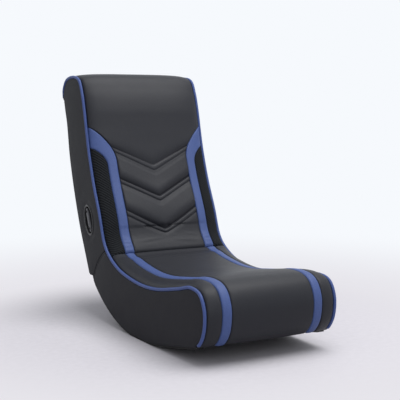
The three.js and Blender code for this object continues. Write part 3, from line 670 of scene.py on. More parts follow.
# %% A cover on the padding
SEAM_ROLL, SEAM_DEPTH = 5.5 * mm, 4.0 * mm
COVER = 2.5 * mm
SEAM_STEPS = np.array([0, 0.5, 1.2, 2.2, 3.6, 5.5]) * mm
JOINT_GAP = 0.3 * mm
WALL_DEPTHS = np.array([3, 7]) * mm
WALL_FOOT = -4 * mm
SHAKE = 0.12 * mm


def shares_over(width, spacing):
    """Column shares of a width: close steps beside the seams, then even ones of about the spacing."""
    inside = np.linspace(SEAM_STEPS[-1], width - SEAM_STEPS[-1], max(round(width / spacing), 2) | 1)
    return np.concatenate([SEAM_STEPS[:-1], inside, width - SEAM_STEPS[-2::-1]]) / width


def rows_over(start, end, spacing, close=()):
    """Row lengths from start to end, with close steps at both ends and round each place in close."""
    plain = np.arange(start + SEAM_STEPS[-1], end - SEAM_STEPS[-1], spacing)
    for place, reach in close:
        plain = plain[np.abs(plain - place) > reach]
    extra = [place + np.linspace(-reach, reach, 25) for place, reach in close]
    return np.sort(np.concatenate([start + SEAM_STEPS, plain, end - SEAM_STEPS, *extra]))


def ripples(length, x, folds):
    """Soft folds that press and sitting leave. Each is a ridge over a slanting line: (height, distance above
    the crease, slant, width, middle, reach), and it fades towards its ends."""
    total = 0 * (length + x)
    for height, above, slant, width, middle, reach in folds:
        fade = np.clip(1 - ((x - middle * mm) / (reach * mm)) ** 2, 0, 1) ** 1.5
        gap = (crease - length - above * mm - slant * (x - middle * mm)) / (width * mm)
        total = total + height * mm * np.exp(-(gap**2)) * fade
    return total


def gathers(top, normal, held_rows, seed):
    """How far a cover's points move when it is simulated: shaken first, and held at its edges and at some of
    its rows."""
    fixed = np.zeros(top.shape[:2], bool)
    fixed[[0, -1]] = fixed[:, [0, -1]] = True
    fixed[held_rows] = True
    shaken = top + np.random.default_rng(seed).normal(0, SHAKE, top.shape)
    shaken[fixed] = top[fixed]
    return kept_folds(settled(shaken, fixed), normal)


def wall(x, length, rise, inwards):
    """Two rows that hang from a cover's end row into the crease: their outer points, and their inner ones a
    cover's thickness further in and down."""
    levels = [np.maximum(rise - depth, WALL_FOOT) for depth in WALL_DEPTHS]
    return [np.stack([with_x(x, edge.at(length + shift, level - drop)) for level in levels])
            for shift, drop in ((0, 0), (inwards, COVER))]


def cover(name, slot, replaced, rows, side, inner, outer, shares, finish, puff, hang=None, relief=None,
          held=(), folds=(), seed=1, ends=(False, False)):
    """Lays the panel's grid, simulates it, and returns its top grid, normals and rows. Height is the crown,
    plus a puff that is highest mid-panel, plus any relief pressed into the rows, less the roll of the seams.
    ends says which ends of the rows are sewn down. An end at the crease stands as a wall."""
    base = rows[:, None]
    share = shares[None, :]
    if side == 0:
        x = outer(base) * (2 * share - 1)
        seam = outer(base) - np.abs(x)
    else:
        reach = inner(base) + (outer(base) - inner(base)) * share
        x = side * reach
        seam = np.minimum(reach - inner(base), outer(base) - reach)
    length = base + (hang(base, x / outer(base)) if hang else 0)
    length = np.broadcast_to(length, x.shape)
    rise = crown(length, x) + puff * np.sin(np.pi * share) ** 0.6 - rolled(seam, SEAM_ROLL, SEAM_DEPTH)
    rise = rise + ripples(length, x, folds) * smooth(seam / SEAM_ROLL)
    if relief:
        rise = rise + relief(base)
    if ends[0]:
        rise = rise - rolled(base - rows[0], SEAM_ROLL, SEAM_DEPTH)
    if ends[1]:
        rise = rise - rolled(rows[-1] - base, SEAM_ROLL, SEAM_DEPTH)
    top = with_x(x, edge.at(length, rise))
    normal = grid_normals(top)
    lift = with_x(0.0, edge.at(length, 1.0) - edge.at(length, 0.0))
    normal *= np.sign(np.einsum("ijk,ijk->ij", normal, lift))[..., None]
    held_rows = [np.argmin(np.abs(rows - place)) for place in held]
    top = top + gathers(top, normal, held_rows, seed) * np.clip(seam / SEAM_ROLL, 0, 1)[..., None]
    under = with_x(x, edge.at(length, rise - COVER))
    if abs(rows[0] - crease) <= 2 * JOINT_GAP:
        outside, inside = wall(x[0], length[0], rise[0], COVER)
        top, under = np.concatenate([outside[::-1], top]), np.concatenate([inside[::-1], under])
        rows = np.concatenate([rows[:1], rows[:1], rows])
    if abs(rows[-1] - crease) <= 2 * JOINT_GAP:
        outside, inside = wall(x[-1], length[-1], rise[-1], -COVER)
        top, under = np.concatenate([top, outside]), np.concatenate([under, inside])
        rows = np.concatenate([rows, rows[-1:], rows[-1:]])
    flat = np.stack(np.broadcast_arrays(top[..., 0], rows[:, None]), axis=-1)
    made = bends(shell(name, top, under, flat, finish), slot, *replaced)
    return top, grid_normals(top), rows


print("seams roll down", SEAM_DEPTH / mm, "mm")

# %% [markdown]
# The back's centre panel carries three chevron channels. Each is a raised rib between two stitched grooves.
# The pad above a rib is stuffed and hangs over it, the pad below starts flat, and this lopsided profile is
# what catches the light. The profile is a table of heights against the distance from the rib, smoothed once.

# %% Chevron profile
CHEVRON_PITCH, CHEVRON_BEND, ARM_SOFTNESS = 101 * mm, 65 * mm, 0.035
CHEVRON_FADE = 90 * mm
chevron_top = corner - 311 * mm
chevrons = chevron_top + CHEVRON_PITCH * np.arange(3)
profile_table = np.array([
    [-101, 0], [-80, 1], [-55, 2.9], [-36, 4.2], [-26, 3.8], [-18, 1.9], [-12.5, -1.4], [-9, -4.3],
    [-7.8, -4.5], [-6.2, -1.4], [-4.2, 0.5], [0, 1.2], [4, 0.8], [6.2, -0.5], [7.8, -1.9], [8.8, -1.9],
    [12, -1.1], [17, -0.3], [24, 0.1], [101, 0],
]) * mm
fine = np.arange(-101, 101.25, 0.25) * mm
heights = np.interp(fine, *profile_table.T)
kernel = np.hanning(13) / np.hanning(13).sum()
heights = np.convolve(np.pad(heights, 6, "edge"), kernel, "valid")
RIB_HALF, RIB_REACH = 8.2 * mm, 14 * mm
CHEVRON_SHARES = np.array([0.62, 1, 1])[:, None, None]
CHANNEL_FADE = 30 * mm


def channels(length):
    """Relief of the nearest chevron above or below: each row takes the lowest of the three profiles where
    they overlap at a rib, and the fuller one between ribs."""
    near = np.stack([np.interp(length - chevron, fine, heights, left=0.0, right=0.0) for chevron in chevrons])
    near = near * CHEVRON_SHARES
    low = near.min(axis=0)
    return np.where(low < 0, low, near.max(axis=0)) * smooth((crease - length) / CHANNEL_FADE)


def chevron_hang(length, share):
    """How far a row's points lie below its ends: straight arms that meet at a soft point in the middle."""
    arms = 1 - np.hypot(share, ARM_SOFTNESS) / math.hypot(1, ARM_SOFTNESS)
    into = smooth((length - chevron_top + CHEVRON_FADE) / CHEVRON_FADE)
    out = 1 - smooth((length - corner + CHEVRON_FADE + 6 * mm) / CHEVRON_FADE)
    return CHEVRON_BEND * arms * into * out


print("chevrons from", round(chevron_top, 3), "m along the line, every", CHEVRON_PITCH, "m")

# %% [markdown]
# The centre panel is widest at the top and narrows where the two strips swing in from the piping. Its edges
# are therefore seams whose place across the chair depends on the length.

# %% The back's centre panel
STRIP_INNER, STRIP_OUTER, STRIP_WIDTH = 119 * mm, 149 * mm, 30 * mm
STRIP_TOP, STRIP_SWEEP = corner - 386 * mm, 115 * mm
RIBBED_TOP, RIBBED_SWEEP = corner - 322 * mm, 60 * mm


def swept(place, top, span):
    """A seam that starts at the piping and swings in to its place across the chair over a span of length."""
    return lambda length: place + (PAD_HALF - place) * (1 - np.clip((length - top) / span, 0, 1)) ** 2


back_inner = swept(STRIP_INNER, STRIP_TOP, STRIP_SWEEP)
back_outer = swept(STRIP_OUTER, RIBBED_TOP, RIBBED_SWEEP)
back_rows = rows_over(0.0, crease - JOINT_GAP, 5 * mm, [(at, RIB_REACH) for at in chevrons])
back_pad = cover("back_pad", "black_cover", ["back_centre_panel", "back_foam"], back_rows, 0, None,
                 back_inner, shares_over(2 * STRIP_INNER, 4.5 * mm), black_leather, 0.0, hang=chevron_hang,
                 relief=channels, ends=(True, False),
                 folds=[(0.8, 40, 0.10, 5.0, -60, 55), (0.7, 30, -0.14, 4.0, 65, 50),
                        (0.6, 18, 0.08, 3.6, -75, 40), (-0.6, 34, 0.12, 5.0, -50, 50),
                        (0.5, 54, -0.22, 5.0, 85, 35), (-0.5, 21, -0.1, 3.6, 55, 45)],
                 held=[at + side * RIB_HALF for at in chevrons for side in (-1, 1)])
print("back pad", back_pad[0].shape)

# %% [markdown]
# On each side of it a blue strip sweeps in from the piping and runs down to the crease, and a ribbed panel
# fills the space outside the strip.

# %% Strips and ribbed panels of the back
SIDES = [("left", 1), ("right", -1)]
STRIP_MIDDLE, RIBBED_WIDTH = 134, 42 * mm


def even_seam(place):
    """A seam that stays at one place across the chair."""
    return lambda length: place + 0 * length


strip_rows = rows_over(STRIP_TOP + mm, crease - JOINT_GAP, 4.5 * mm)
ribbed_rows = rows_over(RIBBED_TOP + mm, crease - JOINT_GAP, 5 * mm)
for name, side in SIDES:
    middle = side * STRIP_MIDDLE
    folds = [(1.5, 38, 0.25 * side, 3.2, middle, 30), (-1.2, 31, 0.2 * side, 2.8, middle, 30),
             (1.2, 23, -0.25 * side, 2.8, middle, 26), (1.0, 52, 0.4 * side, 3.2, middle, 24),
             (-0.8, 15, -0.2 * side, 2.6, middle, 26)]
    strip, panel = f"back_strip_{name}", f"back_ribbed_panel_{name}"
    cover(strip, "blue_cover", [strip], strip_rows, side, back_inner, back_outer,
          shares_over(STRIP_WIDTH, 4 * mm), blue_leather, 1.6 * mm, folds=folds, seed=3 + side)
    cover(panel, "ribbed_fabric", [panel], ribbed_rows, side, back_outer, even_seam(PAD_HALF),
          shares_over(RIBBED_WIDTH, 5 * mm), ribbed_fabric, 1.0 * mm, seed=7 + side)
print(len(strip_rows), "rows in a strip")

# %% [markdown]
# The seat is made the same way: a centre pad, two blue strips and two bolsters outside them.

# %% Covers of the seat
SEAT_INNER, SEAT_OUTER, BOLSTER_WIDTH = 123 * mm, 150 * mm, 41 * mm
inner_seam, outer_seam = even_seam(SEAT_INNER), even_seam(SEAT_OUTER)
seat_rows = rows_over(crease + JOINT_GAP, edge.length, 5.5 * mm)
seat_pad = cover("seat_pad", "black_cover", ["seat_centre_panel", "seat_foam"], seat_rows, 0, None,
                 inner_seam, shares_over(2 * SEAT_INNER, 5 * mm), black_leather, 1.5 * mm, ends=(False, True))
for name, side in SIDES:
    cover(f"seat_strip_{name}", "blue_cover", [f"seat_strip_{name}"], seat_rows, side, inner_seam,
          outer_seam, shares_over(SEAT_OUTER - SEAT_INNER, 4 * mm), blue_leather, 1.4 * mm,
          seed=11 + side, ends=(False, True))
    cover(f"seat_bolster_{name}", "black_cover", [f"seat_bolster_panel_{name}"], seat_rows, side,
          outer_seam, even_seam(PAD_HALF), shares_over(BOLSTER_WIDTH, 4.5 * mm), black_leather, 1.4 * mm,
          seed=15 + side, ends=(False, True))
print("seat pad", seat_pad[0].shape)

# %% [markdown]
# Under the seat's front edge the covers turn in and end at the runners. That turned hem is one flap across
# the chair: a curved section, given by distances past the end of the line and out from it, drawn along X.

# %% Hem under the seat's front
HEM_SECTION = np.array([[-9, 1.6], [-6, 2.2], [-3, 2.6], [0, 2.7], [3, 2.4], [6, 1.6], [8.5, 0.2],
                        [10.2, -1.8], [11, -4.5]]) * mm
HEM_HALF, HEM_THICKNESS = 196 * mm, 1.6 * mm
end = edge.at(edge.length)
way = edge.at(edge.length) - edge.at(edge.length - mm)
way /= np.linalg.norm(way)
out_way = np.array([way[1], -way[0]])
x = np.linspace(-HEM_HALF, HEM_HALF, 79)[None]
gather = 0.25 * mm * np.sin(x / (7 * mm)) + 0.15 * mm * np.sin(x / (3.1 * mm) + 1)


def hem_layer(depth):
    """The section's points in every column, rippled by the gather and moved in by depth."""
    past, out = HEM_SECTION[:, :1] - depth * 0.6, HEM_SECTION[:, 1:] + gather - depth
    return with_x(x, end + past[..., None] * way + out[..., None] * out_way)


uv = np.stack(np.broadcast_arrays(x, HEM_SECTION[:, :1]), axis=-1)
front_hem = shell("front_hem", hem_layer(0.0), hem_layer(HEM_THICKNESS), uv, black_leather)
rides(front_hem, "seat", "black_cover")
print("hem made")

# %% [markdown]
# Piping is a filler cord in a strip of blue cover, sewn into the outer seam. It is a round profile carried
# along the line. The strip is cut on the bias, so where it bends it gathers in fine slanting puckers: the
# radius gets a small ripple that twists round the cord. At both ends the piping thins and sinks into the
# seam.

# %% Piping
PIPING_ACROSS = 195.5 * mm
CORD_RADIUS, PUCKER, SINK_RADIUS, SINK_DEPTH = 4.32 * mm, 0.07 * mm, 1.7 * mm, 2.4 * mm
BEAD_RINGS, PIPING_RINGS = 5, 520
SINK_AT_TOP, SINK_IN_FRONT = 34 * mm, 9 * mm
FULL_BEND, LEAST_GATHER = 12, 0.25
FINE_PUCKER, SLOW_PUCKER, SLOW_SHARE = 2.6 * mm, 6.1 * mm, 0.6
bead = np.linspace(0, np.pi / 2, BEAD_RINGS + 1)[:-1]
turn = np.linspace(0, 2 * np.pi, 20, endpoint=False)


def tube(name, path, frame_a, frame_b, radius, finish):
    """A round section carried along a path: each ring is the path's point plus radius times the cosine and
    sine of the turn along two unit vectors. Both ends close to a point in a quarter round."""
    close = np.concatenate([np.sin(bead), np.ones(len(path) - 2 * BEAD_RINGS), np.sin(bead)[::-1]])
    ring = np.cos(turn)[None, :, None] * frame_a[:, None] + np.sin(turn)[None, :, None] * frame_b[:, None]
    spots = path[:, None] + ring * (radius * close[:, None])[..., None]
    uv = np.stack(np.broadcast_arrays(turn[None] * radius.mean(), run_along(path)[:, None]), axis=-1)
    return closed(name, spots, finish, uv)


ends = (1 - np.cos(bead)) * PIPING_RADIUS
inside = np.linspace(piping_start + PIPING_RADIUS, piping_end - PIPING_RADIUS, PIPING_RINGS)
lengths = np.concatenate([piping_start + ends, inside, piping_end - ends[::-1]])
way = np.gradient(edge.at(lengths), lengths, axis=0)
out_way = np.stack([np.zeros(len(lengths)), way[:, 1], -way[:, 0]], axis=1)
x_way = np.tile([1.0, 0.0, 0.0], (len(lengths), 1))
curve = np.abs(np.gradient(np.arctan2(way[:, 1], way[:, 0]), lengths))
curve = np.convolve(np.pad(curve, 15, "edge"), np.ones(31) / 31, "valid")
gather = np.clip(curve / FULL_BEND, LEAST_GATHER, 1)
sink = 1 - smooth((lengths - piping_start) / SINK_AT_TOP) * smooth((piping_end - lengths) / SINK_IN_FRONT)
for name, side in SIDES:
    ripple = np.sin(lengths[:, None] / FINE_PUCKER + side * turn[None]) * gather[:, None]
    ripple += SLOW_SHARE * np.sin(lengths[:, None] / SLOW_PUCKER - turn[None] + side)
    radius = CORD_RADIUS + PUCKER * ripple - SINK_RADIUS * sink[:, None]
    path = with_x(side * PIPING_ACROSS, edge.at(lengths, -SINK_DEPTH * sink))
    piping = tube(f"piping_{name}", path, out_way, x_way, radius, blue_edging)
    bends(piping, "blue_cover", f"back_piping_{name}", f"seat_piping_{name}")
print("piping", round(piping_end - piping_start, 3), "m a side")

# %% [markdown]
# Thread shows along the strips and in the chevron grooves. A stitch is a short arched capsule, and hundreds
# of copies of one small template are placed at once: each point of the template is moved along the seam's
# direction, its side and its normal.

# %% Stitches
STITCH_PITCH, STITCH_LENGTH, STITCH_RADIUS = 4.6 * mm, 3.3 * mm, 0.42 * mm


def capsule(length, radius, arch, rings=6, sides=6):
    """A template with (along, side, up) points: a round rod that narrows at its ends and arches up."""
    along = np.cos(np.linspace(0, np.pi, rings))
    turn = np.linspace(0, 2 * np.pi, sides, endpoint=False)
    wide = radius * np.sqrt(np.clip(1 - 0.96 * along**2, 0.04, 1))
    spots = np.stack(np.broadcast_arrays(
        (along * length / 2)[:, None], wide[:, None] * np.cos(turn), wide[:, None] * np.sin(turn)), axis=-1)
    spots[..., 2] += arch * (1 - along[:, None] ** 2) - arch / 2
    faces = grid_faces(rings, sides, wrap=True)
    caps = [[0, i, i + 1, i + 1] for i in range(1, sides - 1)]
    last = (rings - 1) * sides
    caps += [[last, last + i + 1, last + i, last + i] for i in range(1, sides - 1)]
    return spots.reshape(-1, 3), faces, caps


def copies(name, places, ways, normals, finish, length, radius, arch):
    """Copies of the capsule at places, lying along ways and lifted along normals."""
    template, faces, caps = capsule(length, radius, arch)
    side = np.cross(normals, ways)
    spots = (places[:, None] + template[None, :, :1] * ways[:, None] + template[None, :, 1:2] * side[:, None]
             + template[None, :, 2:] * normals[:, None])
    shift = (np.arange(len(places)) * len(template))[:, None, None]
    rods = (faces[None] + shift).reshape(-1, 4).tolist()
    ends = [[a + s, b + s, c + s] for s in shift.ravel().tolist() for a, b, c, _ in caps]
    mesh = bpy.data.meshes.new(name)
    mesh.from_pydata(spots.reshape(-1, 3).tolist(), [], rods + ends)
    mesh.update()
    checked = bmesh.new()
    checked.from_mesh(mesh)
    bmesh.ops.recalc_face_normals(checked, faces=checked.faces)
    checked.to_mesh(mesh)
    checked.free()
    mesh.polygons.foreach_set("use_smooth", np.ones(len(mesh.polygons), bool))
    mesh.materials.append(finish)
    return linked(name, mesh)


def along_line(spots, normals, pitch):
    """Places at even lengths along a line of points, with their directions and normals."""
    run = run_along(spots)
    at = np.arange(pitch, run[-1] - pitch / 2, pitch)
    place, way, normal = (np.stack([np.interp(at, run, part[:, i]) for i in range(3)], axis=1)
                          for part in (spots, np.gradient(spots, run, axis=0), normals))
    way /= np.linalg.norm(way, axis=1, keepdims=True)
    normal -= way * np.einsum("ij,ij->i", way, normal)[:, None]
    return place, way, normal / np.linalg.norm(normal, axis=1, keepdims=True)


def sewn(name, lines, finish, pitch=STITCH_PITCH, length=STITCH_LENGTH, radius=STITCH_RADIUS, arch=0.3 * mm):
    """Copies of the capsule along lines of points, each line given with its normals."""
    found = [along_line(spots, normals, pitch) for spots, normals in lines]
    places, ways, normals = (np.concatenate(part) for part in zip(*found))
    return copies(name, places, ways, normals, finish, length, radius, arch)


def outward(top, normal):
    """A cover's normals, turned to the side that its height points to."""
    centre = np.array([0.0, 0.1, 0.1])
    facing = np.einsum("ijk,ijk->ij", normal, top - centre)
    return normal * np.sign(np.median(facing))


SEAM_COLUMN = 4
lines = []
for top, normal, _ in (back_pad, seat_pad):
    normal = outward(top, normal)
    for column in (SEAM_COLUMN, -1 - SEAM_COLUMN):
        lines.append((top[3:-4, column], normal[3:-4, column]))
bends(sewn("pad_stitches", lines, thread), "black_cover")
top, normal, rows = back_pad
normal = outward(top, normal)
grooves = [np.argmin(np.abs(rows - at - side * RIB_HALF)) for at in chevrons for side in (-1, 1)]
lines = [(top[row, 3:-3], normal[row, 3:-3]) for row in grooves]
bends(sewn("chevron_stitches", lines, thread), "black_cover")
print("stitches sewn")

# %% [markdown]
# The sides are covered with one flat piece of leather over each board. A panel of such an outline has no rows
# and columns, so it is a net of triangles that a Delaunay triangulation lays between its points. What a
# point's level needs is only its distance from the edge: it gives a rolled edge, a hem behind and a slight
# puff in the middle.

# %% Side covers
COVER_OUTER, COVER_INNER = 197.5 * mm, 195.0 * mm
seat_rear_end = side_view([0.2467, 0.161])
chord = seat_rear_end - pin
chord_length = np.linalg.norm(chord)
BULGE = 16 * mm
seam_radius = ((chord_length / 2) ** 2 + BULGE**2) / (2 * BULGE)
half_angle = math.asin(chord_length / 2 / seam_radius)
chord_angle = math.atan2(chord[1], chord[0])
seam_arc = 2 * half_angle * seam_radius
centre_angle = chord_angle + half_angle - math.pi / 2
seam_centre = pin + seam_radius * np.array([math.cos(centre_angle), math.sin(centre_angle)])


def seam_run(start, end, shift, steps):
    """Points on the slanting joint between the blocks, an arc from the hinge pin to the seat's rear end."""
    share = np.linspace(start, end, steps + 1)
    angle = chord_angle + half_angle + math.pi / 2 - share * 2 * half_angle
    return seam_centre + (seam_radius + shift) * np.stack([np.cos(angle), np.sin(angle)], axis=-1)


def left_of(line):
    """Unit vectors that point to the left of a line of points."""
    way = np.gradient(line, axis=0)
    way /= np.linalg.norm(way, axis=1, keepdims=True)
    return np.stack([-way[:, 1], way[:, 0]], axis=-1)


def rocker(start=0.0, end=1.0, steps=88, lift=0.0):
    """The runner's underside: two quadratic curves that meet at the lowest point, cut flat at the floor, and
    lifted square to themselves."""
    share = np.linspace(start, end, steps + 1)[:, None]
    front = [side_view(p) - SIDE_START for p in ([-0.452, 0.0646], [-0.191, 0], [-0.1116, 0])]
    back = [side_view(p) - SIDE_START for p in ([-0.1116, 0], [0.09, 0], [0.24, 0.15])]

    def bezier(p, t):
        return p[0] * (1 - t) ** 2 + 2 * p[1] * t * (1 - t) + p[2] * t**2

    line = np.where(share < 0.5, bezier(front, share * 2), bezier(back, share * 2 - 1)) + SIDE_START
    line[:, 1] = np.maximum(line[:, 1] - 4 * mm, 0)
    return line + lift * left_of(line)


def evened(line, spacing):
    """A line's points at even lengths."""
    run = run_along(line)
    at = np.linspace(0, run[-1], max(round(run[-1] / spacing), 1) + 1)
    return np.stack([np.interp(at, run, line[:, i]) for i in (0, 1)], axis=-1)


def distances(spots, line):
    """Distance of each spot from a closed line of points, and whether the spot lies inside the line: a ray
    from it crosses the line an odd number of times."""
    a, b = line, np.roll(line, -1, axis=0)
    way = b - a
    gap = spots[:, None] - a[None]
    share = np.clip((gap * way).sum(-1) / np.maximum((way**2).sum(-1), 1e-18), 0, 1)
    near = np.linalg.norm(gap - share[..., None] * way, axis=-1).min(axis=1)
    crosses = (a[None, :, 1] > spots[:, None, 1]) != (b[None, :, 1] > spots[:, None, 1])
    height = np.where(way[:, 1] == 0, 1, way[:, 1])
    crosses &= spots[:, None, 0] < a[:, 0] + gap[..., 1] / height * way[:, 0]
    return near, crosses.sum(axis=1) % 2 == 1


RINGS = np.array([0.35, 0.9, 1.7, 3.0, 4.6, 5.8, 6.5, 7.2, 8.2, 10, 13]) * mm
OUTLINE_STEP, NET = 4 * mm, 6 * mm
SIDE_ROLL, SIDE_ROLL_DEPTH, SIDE_PUFF, PUFF_REACH = 3 * mm, 2.2 * mm, 1.4 * mm, 22 * mm
HEM_INSET, HEM_GROOVE, GROOVE_WIDTH = 6.9 * mm, 1.1 * mm, 0.8 * mm
RING_SHARE = 0.93
HOLE_FLAT, HOLE_RISE = 6 * mm, 20 * mm


def side_cover(name, parts, side, hem_parts, hole=None):
    """A net of triangles over the outline, from the outline's own points, rings inside it and an even net in
    the middle. Every point's level is the cover's outer face, less a rolled edge, plus a puff, and less a
    groove where it lies at the hem's distance from the marked parts. Round a hole the puff is pressed
    flat."""
    outline = np.concatenate([evened(part, OUTLINE_STEP)[:-1] for part in parts])
    loops = [outline] if hole is None else [outline, hole]
    spots = list(loops)
    for loop in loops:
        way = np.roll(loop, -1, axis=0) - np.roll(loop, 1, axis=0)
        normal = np.stack([-way[:, 1], way[:, 0]], axis=-1) / np.linalg.norm(way, axis=1, keepdims=True)
        if distances(loop[:1] + normal[:1] * 0.5 * mm, loop)[1] != (loop is outline):
            normal = -normal
        for reach in RINGS:
            ring = loop + normal * reach
            fits = np.all([distances(ring, other)[0] > reach * RING_SHARE for other in loops], axis=0)
            spots.append(ring[fits])
    low, high = outline.min(axis=0), outline.max(axis=0)
    net_y, net_z = np.meshgrid(*[np.arange(low[i], high[i], NET) for i in (0, 1)], indexing="ij")
    net = np.stack([net_y + (np.arange(net_y.shape[1]) % 2) * NET / 2, net_z], axis=-1).reshape(-1, 2)
    clear = distances(net, outline)[1]
    for loop in loops:
        clear &= distances(net, loop)[0] > RINGS[-1] + NET / 2
    spots.append(net[clear])
    joined, start = [], 0
    for loop in loops:
        index = np.arange(len(loop)) + start
        joined += np.stack([index, np.roll(index, -1)], axis=1).tolist()
        start += len(loop)
    flat = [Vector(spot) for spot in np.concatenate(spots).tolist()]
    found = mathutils.geometry.delaunay_2d_cdt(flat, joined, [], 1, 1e-7)
    flat, triangles = np.array([tuple(spot) for spot in found[0]]), np.array(found[2])
    middles = flat[triangles].mean(axis=1)
    inside = distances(middles, outline)[1]
    if hole is not None:
        inside &= ~distances(middles, hole)[1]
    print(name, "triangles", int(inside.sum()), "and outside the leather", int((~inside).sum()))
    triangles = triangles[inside]
    used, triangles = np.unique(triangles, return_inverse=True)
    flat, triangles = flat[used], triangles.reshape(-1, 3)
    depth = distances(flat, outline)[0]
    hem_line = np.concatenate([evened(parts[i], OUTLINE_STEP) for i in hem_parts])
    hem_depth = np.linalg.norm(flat[:, None] - evened(hem_line, 0.5 * mm)[None], axis=-1).min(axis=1)
    puff = SIDE_PUFF * (1 - np.exp(-depth / PUFF_REACH))
    if hole is not None:
        puff = puff * smooth((distances(flat, hole)[0] - HOLE_FLAT) / HOLE_RISE)
    level = COVER_OUTER - rolled(depth, SIDE_ROLL, SIDE_ROLL_DEPTH) + puff
    level = level - HEM_GROOVE * np.exp(-(((hem_depth - HEM_INSET) / GROOVE_WIDTH) ** 2))
    edges = np.concatenate([triangles[:, [0, 1]], triangles[:, [1, 2]], triangles[:, [2, 0]]])
    codes = np.sort(edges, axis=1) @ [len(flat), 1]
    code, times = np.unique(codes, return_counts=True)
    rim = edges[np.isin(codes, code[times == 1])]
    rim = np.concatenate([rim[:, ::-1], rim + len(flat)], axis=1)
    sheets = np.concatenate([triangles, triangles[:, ::-1] + len(flat)])
    sheets = np.concatenate([sheets, sheets[:, -1:]], axis=1)
    stack = np.vstack([with_x(side * level, flat), with_x(side * COVER_INNER, flat)])
    return piece(name, stack, np.vstack([sheets, rim]), shaded_side_leather, stack[:, 1:])


INSET_AT_FOLD, FOLD_EASE, TOP_EASE = 5.9 * mm, 1.7 * mm, 2.6 * mm
FOLD_HALF, EASE_LENGTH = 25 * mm, 40 * mm


def edge_inset(lengths):
    """The covers lie close to the piping, draw back near the fold, where they have to pass, and come out to
    the seam where the piping ends."""
    bend = INSET_AT_FOLD - FOLD_EASE * smooth((np.abs(lengths - corner) - FOLD_HALF) / EASE_LENGTH)
    return bend - TOP_EASE * (1 - smooth(lengths / EASE_LENGTH))


def cut(made, cutter):
    """Takes the cutter's volume out of a piece, and removes the cutter."""
    modifier = made.modifiers.new("cut", "BOOLEAN")
    modifier.operation, modifier.solver, modifier.object = "DIFFERENCE", "EXACT", cutter
    done = bpy.data.meshes.new_from_object(made.evaluated_get(bpy.context.evaluated_depsgraph_get()))
    made.modifiers.clear()
    made.data = done
    done.set_sharp_from_angle(angle=math.radians(50))
    bpy.data.objects.remove(cutter)


HANDLE = side_view([0.279, 0.4065])
HANDLE_TILT = math.radians(24)
ALONG = np.array([0, math.sin(HANDLE_TILT), math.cos(HANDLE_TILT)])
ACROSS = np.array([0, math.cos(HANDLE_TILT), -math.sin(HANDLE_TILT)])
CUP_LENGTH, CUP_WIDTH = 84 * mm, 56 * mm
CUP_RATIO = CUP_WIDTH / CUP_LENGTH


def on_handle(along, across, out):
    """Points by their distances along and across the handle, and from the chair's middle on its right
    side."""
    along, across, out = np.broadcast_arrays(along, across, out)
    flat = along[..., None] * ALONG + across[..., None] * ACROSS
    return flat + np.array([0, *HANDLE]) + out[..., None] * np.array([-1, 0, 0])


def revolved(profile, ratio, around=72):
    """A profile of (reach, out) carried round an ellipse whose width is ratio times its length."""
    turn = np.linspace(0, 2 * np.pi, around, endpoint=False)
    reach, out = profile[:, 0][:, None], profile[:, 1][:, None]
    return on_handle(reach * np.cos(turn), reach * np.sin(turn) * ratio, out + 0 * turn)


SEAM_SHIFT = 0.2 * mm
back_lengths = np.linspace(0, corner - 12 * mm, 300)
back_line = edge.at(back_lengths, -edge_inset(back_lengths))
heel = side_view([[0.2515, 0.179]])
back_seam = seam_run(0.1, 1, SEAM_SHIFT, 60)
rear_line = rear.at(np.linspace(rear.length, 0, 200))
back_parts = [back_line, np.vstack([back_line[-1:], back_seam]), np.vstack([back_seam[-1:], heel]),
              np.vstack([heel, rear_line]), np.vstack([rear_line[-1:], back_line[:1]])]
seat_lengths = np.linspace(corner + 12 * mm, edge.length, 400)
seat_line = edge.at(seat_lengths, -edge_inset(seat_lengths))
underside = rocker(lift=4.3 * mm)
seat_seam = seam_run(1, 0.1, -SEAM_SHIFT, 60)
seat_parts = [seat_line, np.vstack([seat_line[-1:], underside]), np.vstack([underside[-1:], seat_seam]),
              np.vstack([seat_seam[-1:], seat_line[:1]])]
hole = revolved(np.array([[CUP_LENGTH / 2 + 0.3 * mm, 0.0]]), CUP_RATIO)[0, :, 1:]
for name, side in SIDES:
    back_side = side_cover(f"back_side_cover_{name}", back_parts, side, [3], hole if side < 0 else None)
    seat_side = side_cover(f"seat_side_cover_{name}", seat_parts, side, [2])
    rides(back_side, "back", "black_cover", f"back_side_cover_{name}")
    rides(seat_side, "seat", "black_cover", f"seat_side_cover_{name}")
print("side covers made")

# %% [markdown]
# The handle is a moulded cup let into the right side, with a rolled rim and a bar across it held by two
# screws. The cup is a profile carried round an ellipse. The bar is a rounded oblong section that shrinks
# towards both ends, with its screw seats cut in.

# %% Carry handle
cup_profile = SideLine(np.array([
    [0, 174.5], [20, 174.5], [35, 174.9], [39.4, 178], [40.4, 184], [40.7, 190], [41.2, 195.5], [42.6, 198.6],
    [44.8, 199.6], [46.8, 198.9], [48, 197.9], [47, 197.55], [43, 197.5], [42, 196], [42, 184], [41.6, 176],
    [38, 172.8], [20, 172.5], [0, 172.5],
]) * mm, 91).spots
cup_profile[[0, -1], 0] = 0
rides(closed("handle_cup", revolved(cup_profile, CUP_RATIO), plastic), "back", "black_plastic", "handle_cup")

GRIP_HALF, GRIP_WIDE, GRIP_THICK, GRIP_MIDDLE = 38 * mm, 8.5 * mm, 4.5 * mm, 195 * mm
BOSS_SHIFT = 27 * mm


def squircle(turn, power):
    """A rounded oblong: cosine and sine, each raised to a power below one and keeping its sign."""
    c, s = np.cos(turn), np.sin(turn)
    return np.sign(c) * np.abs(c) ** power, np.sign(s) * np.abs(s) ** power


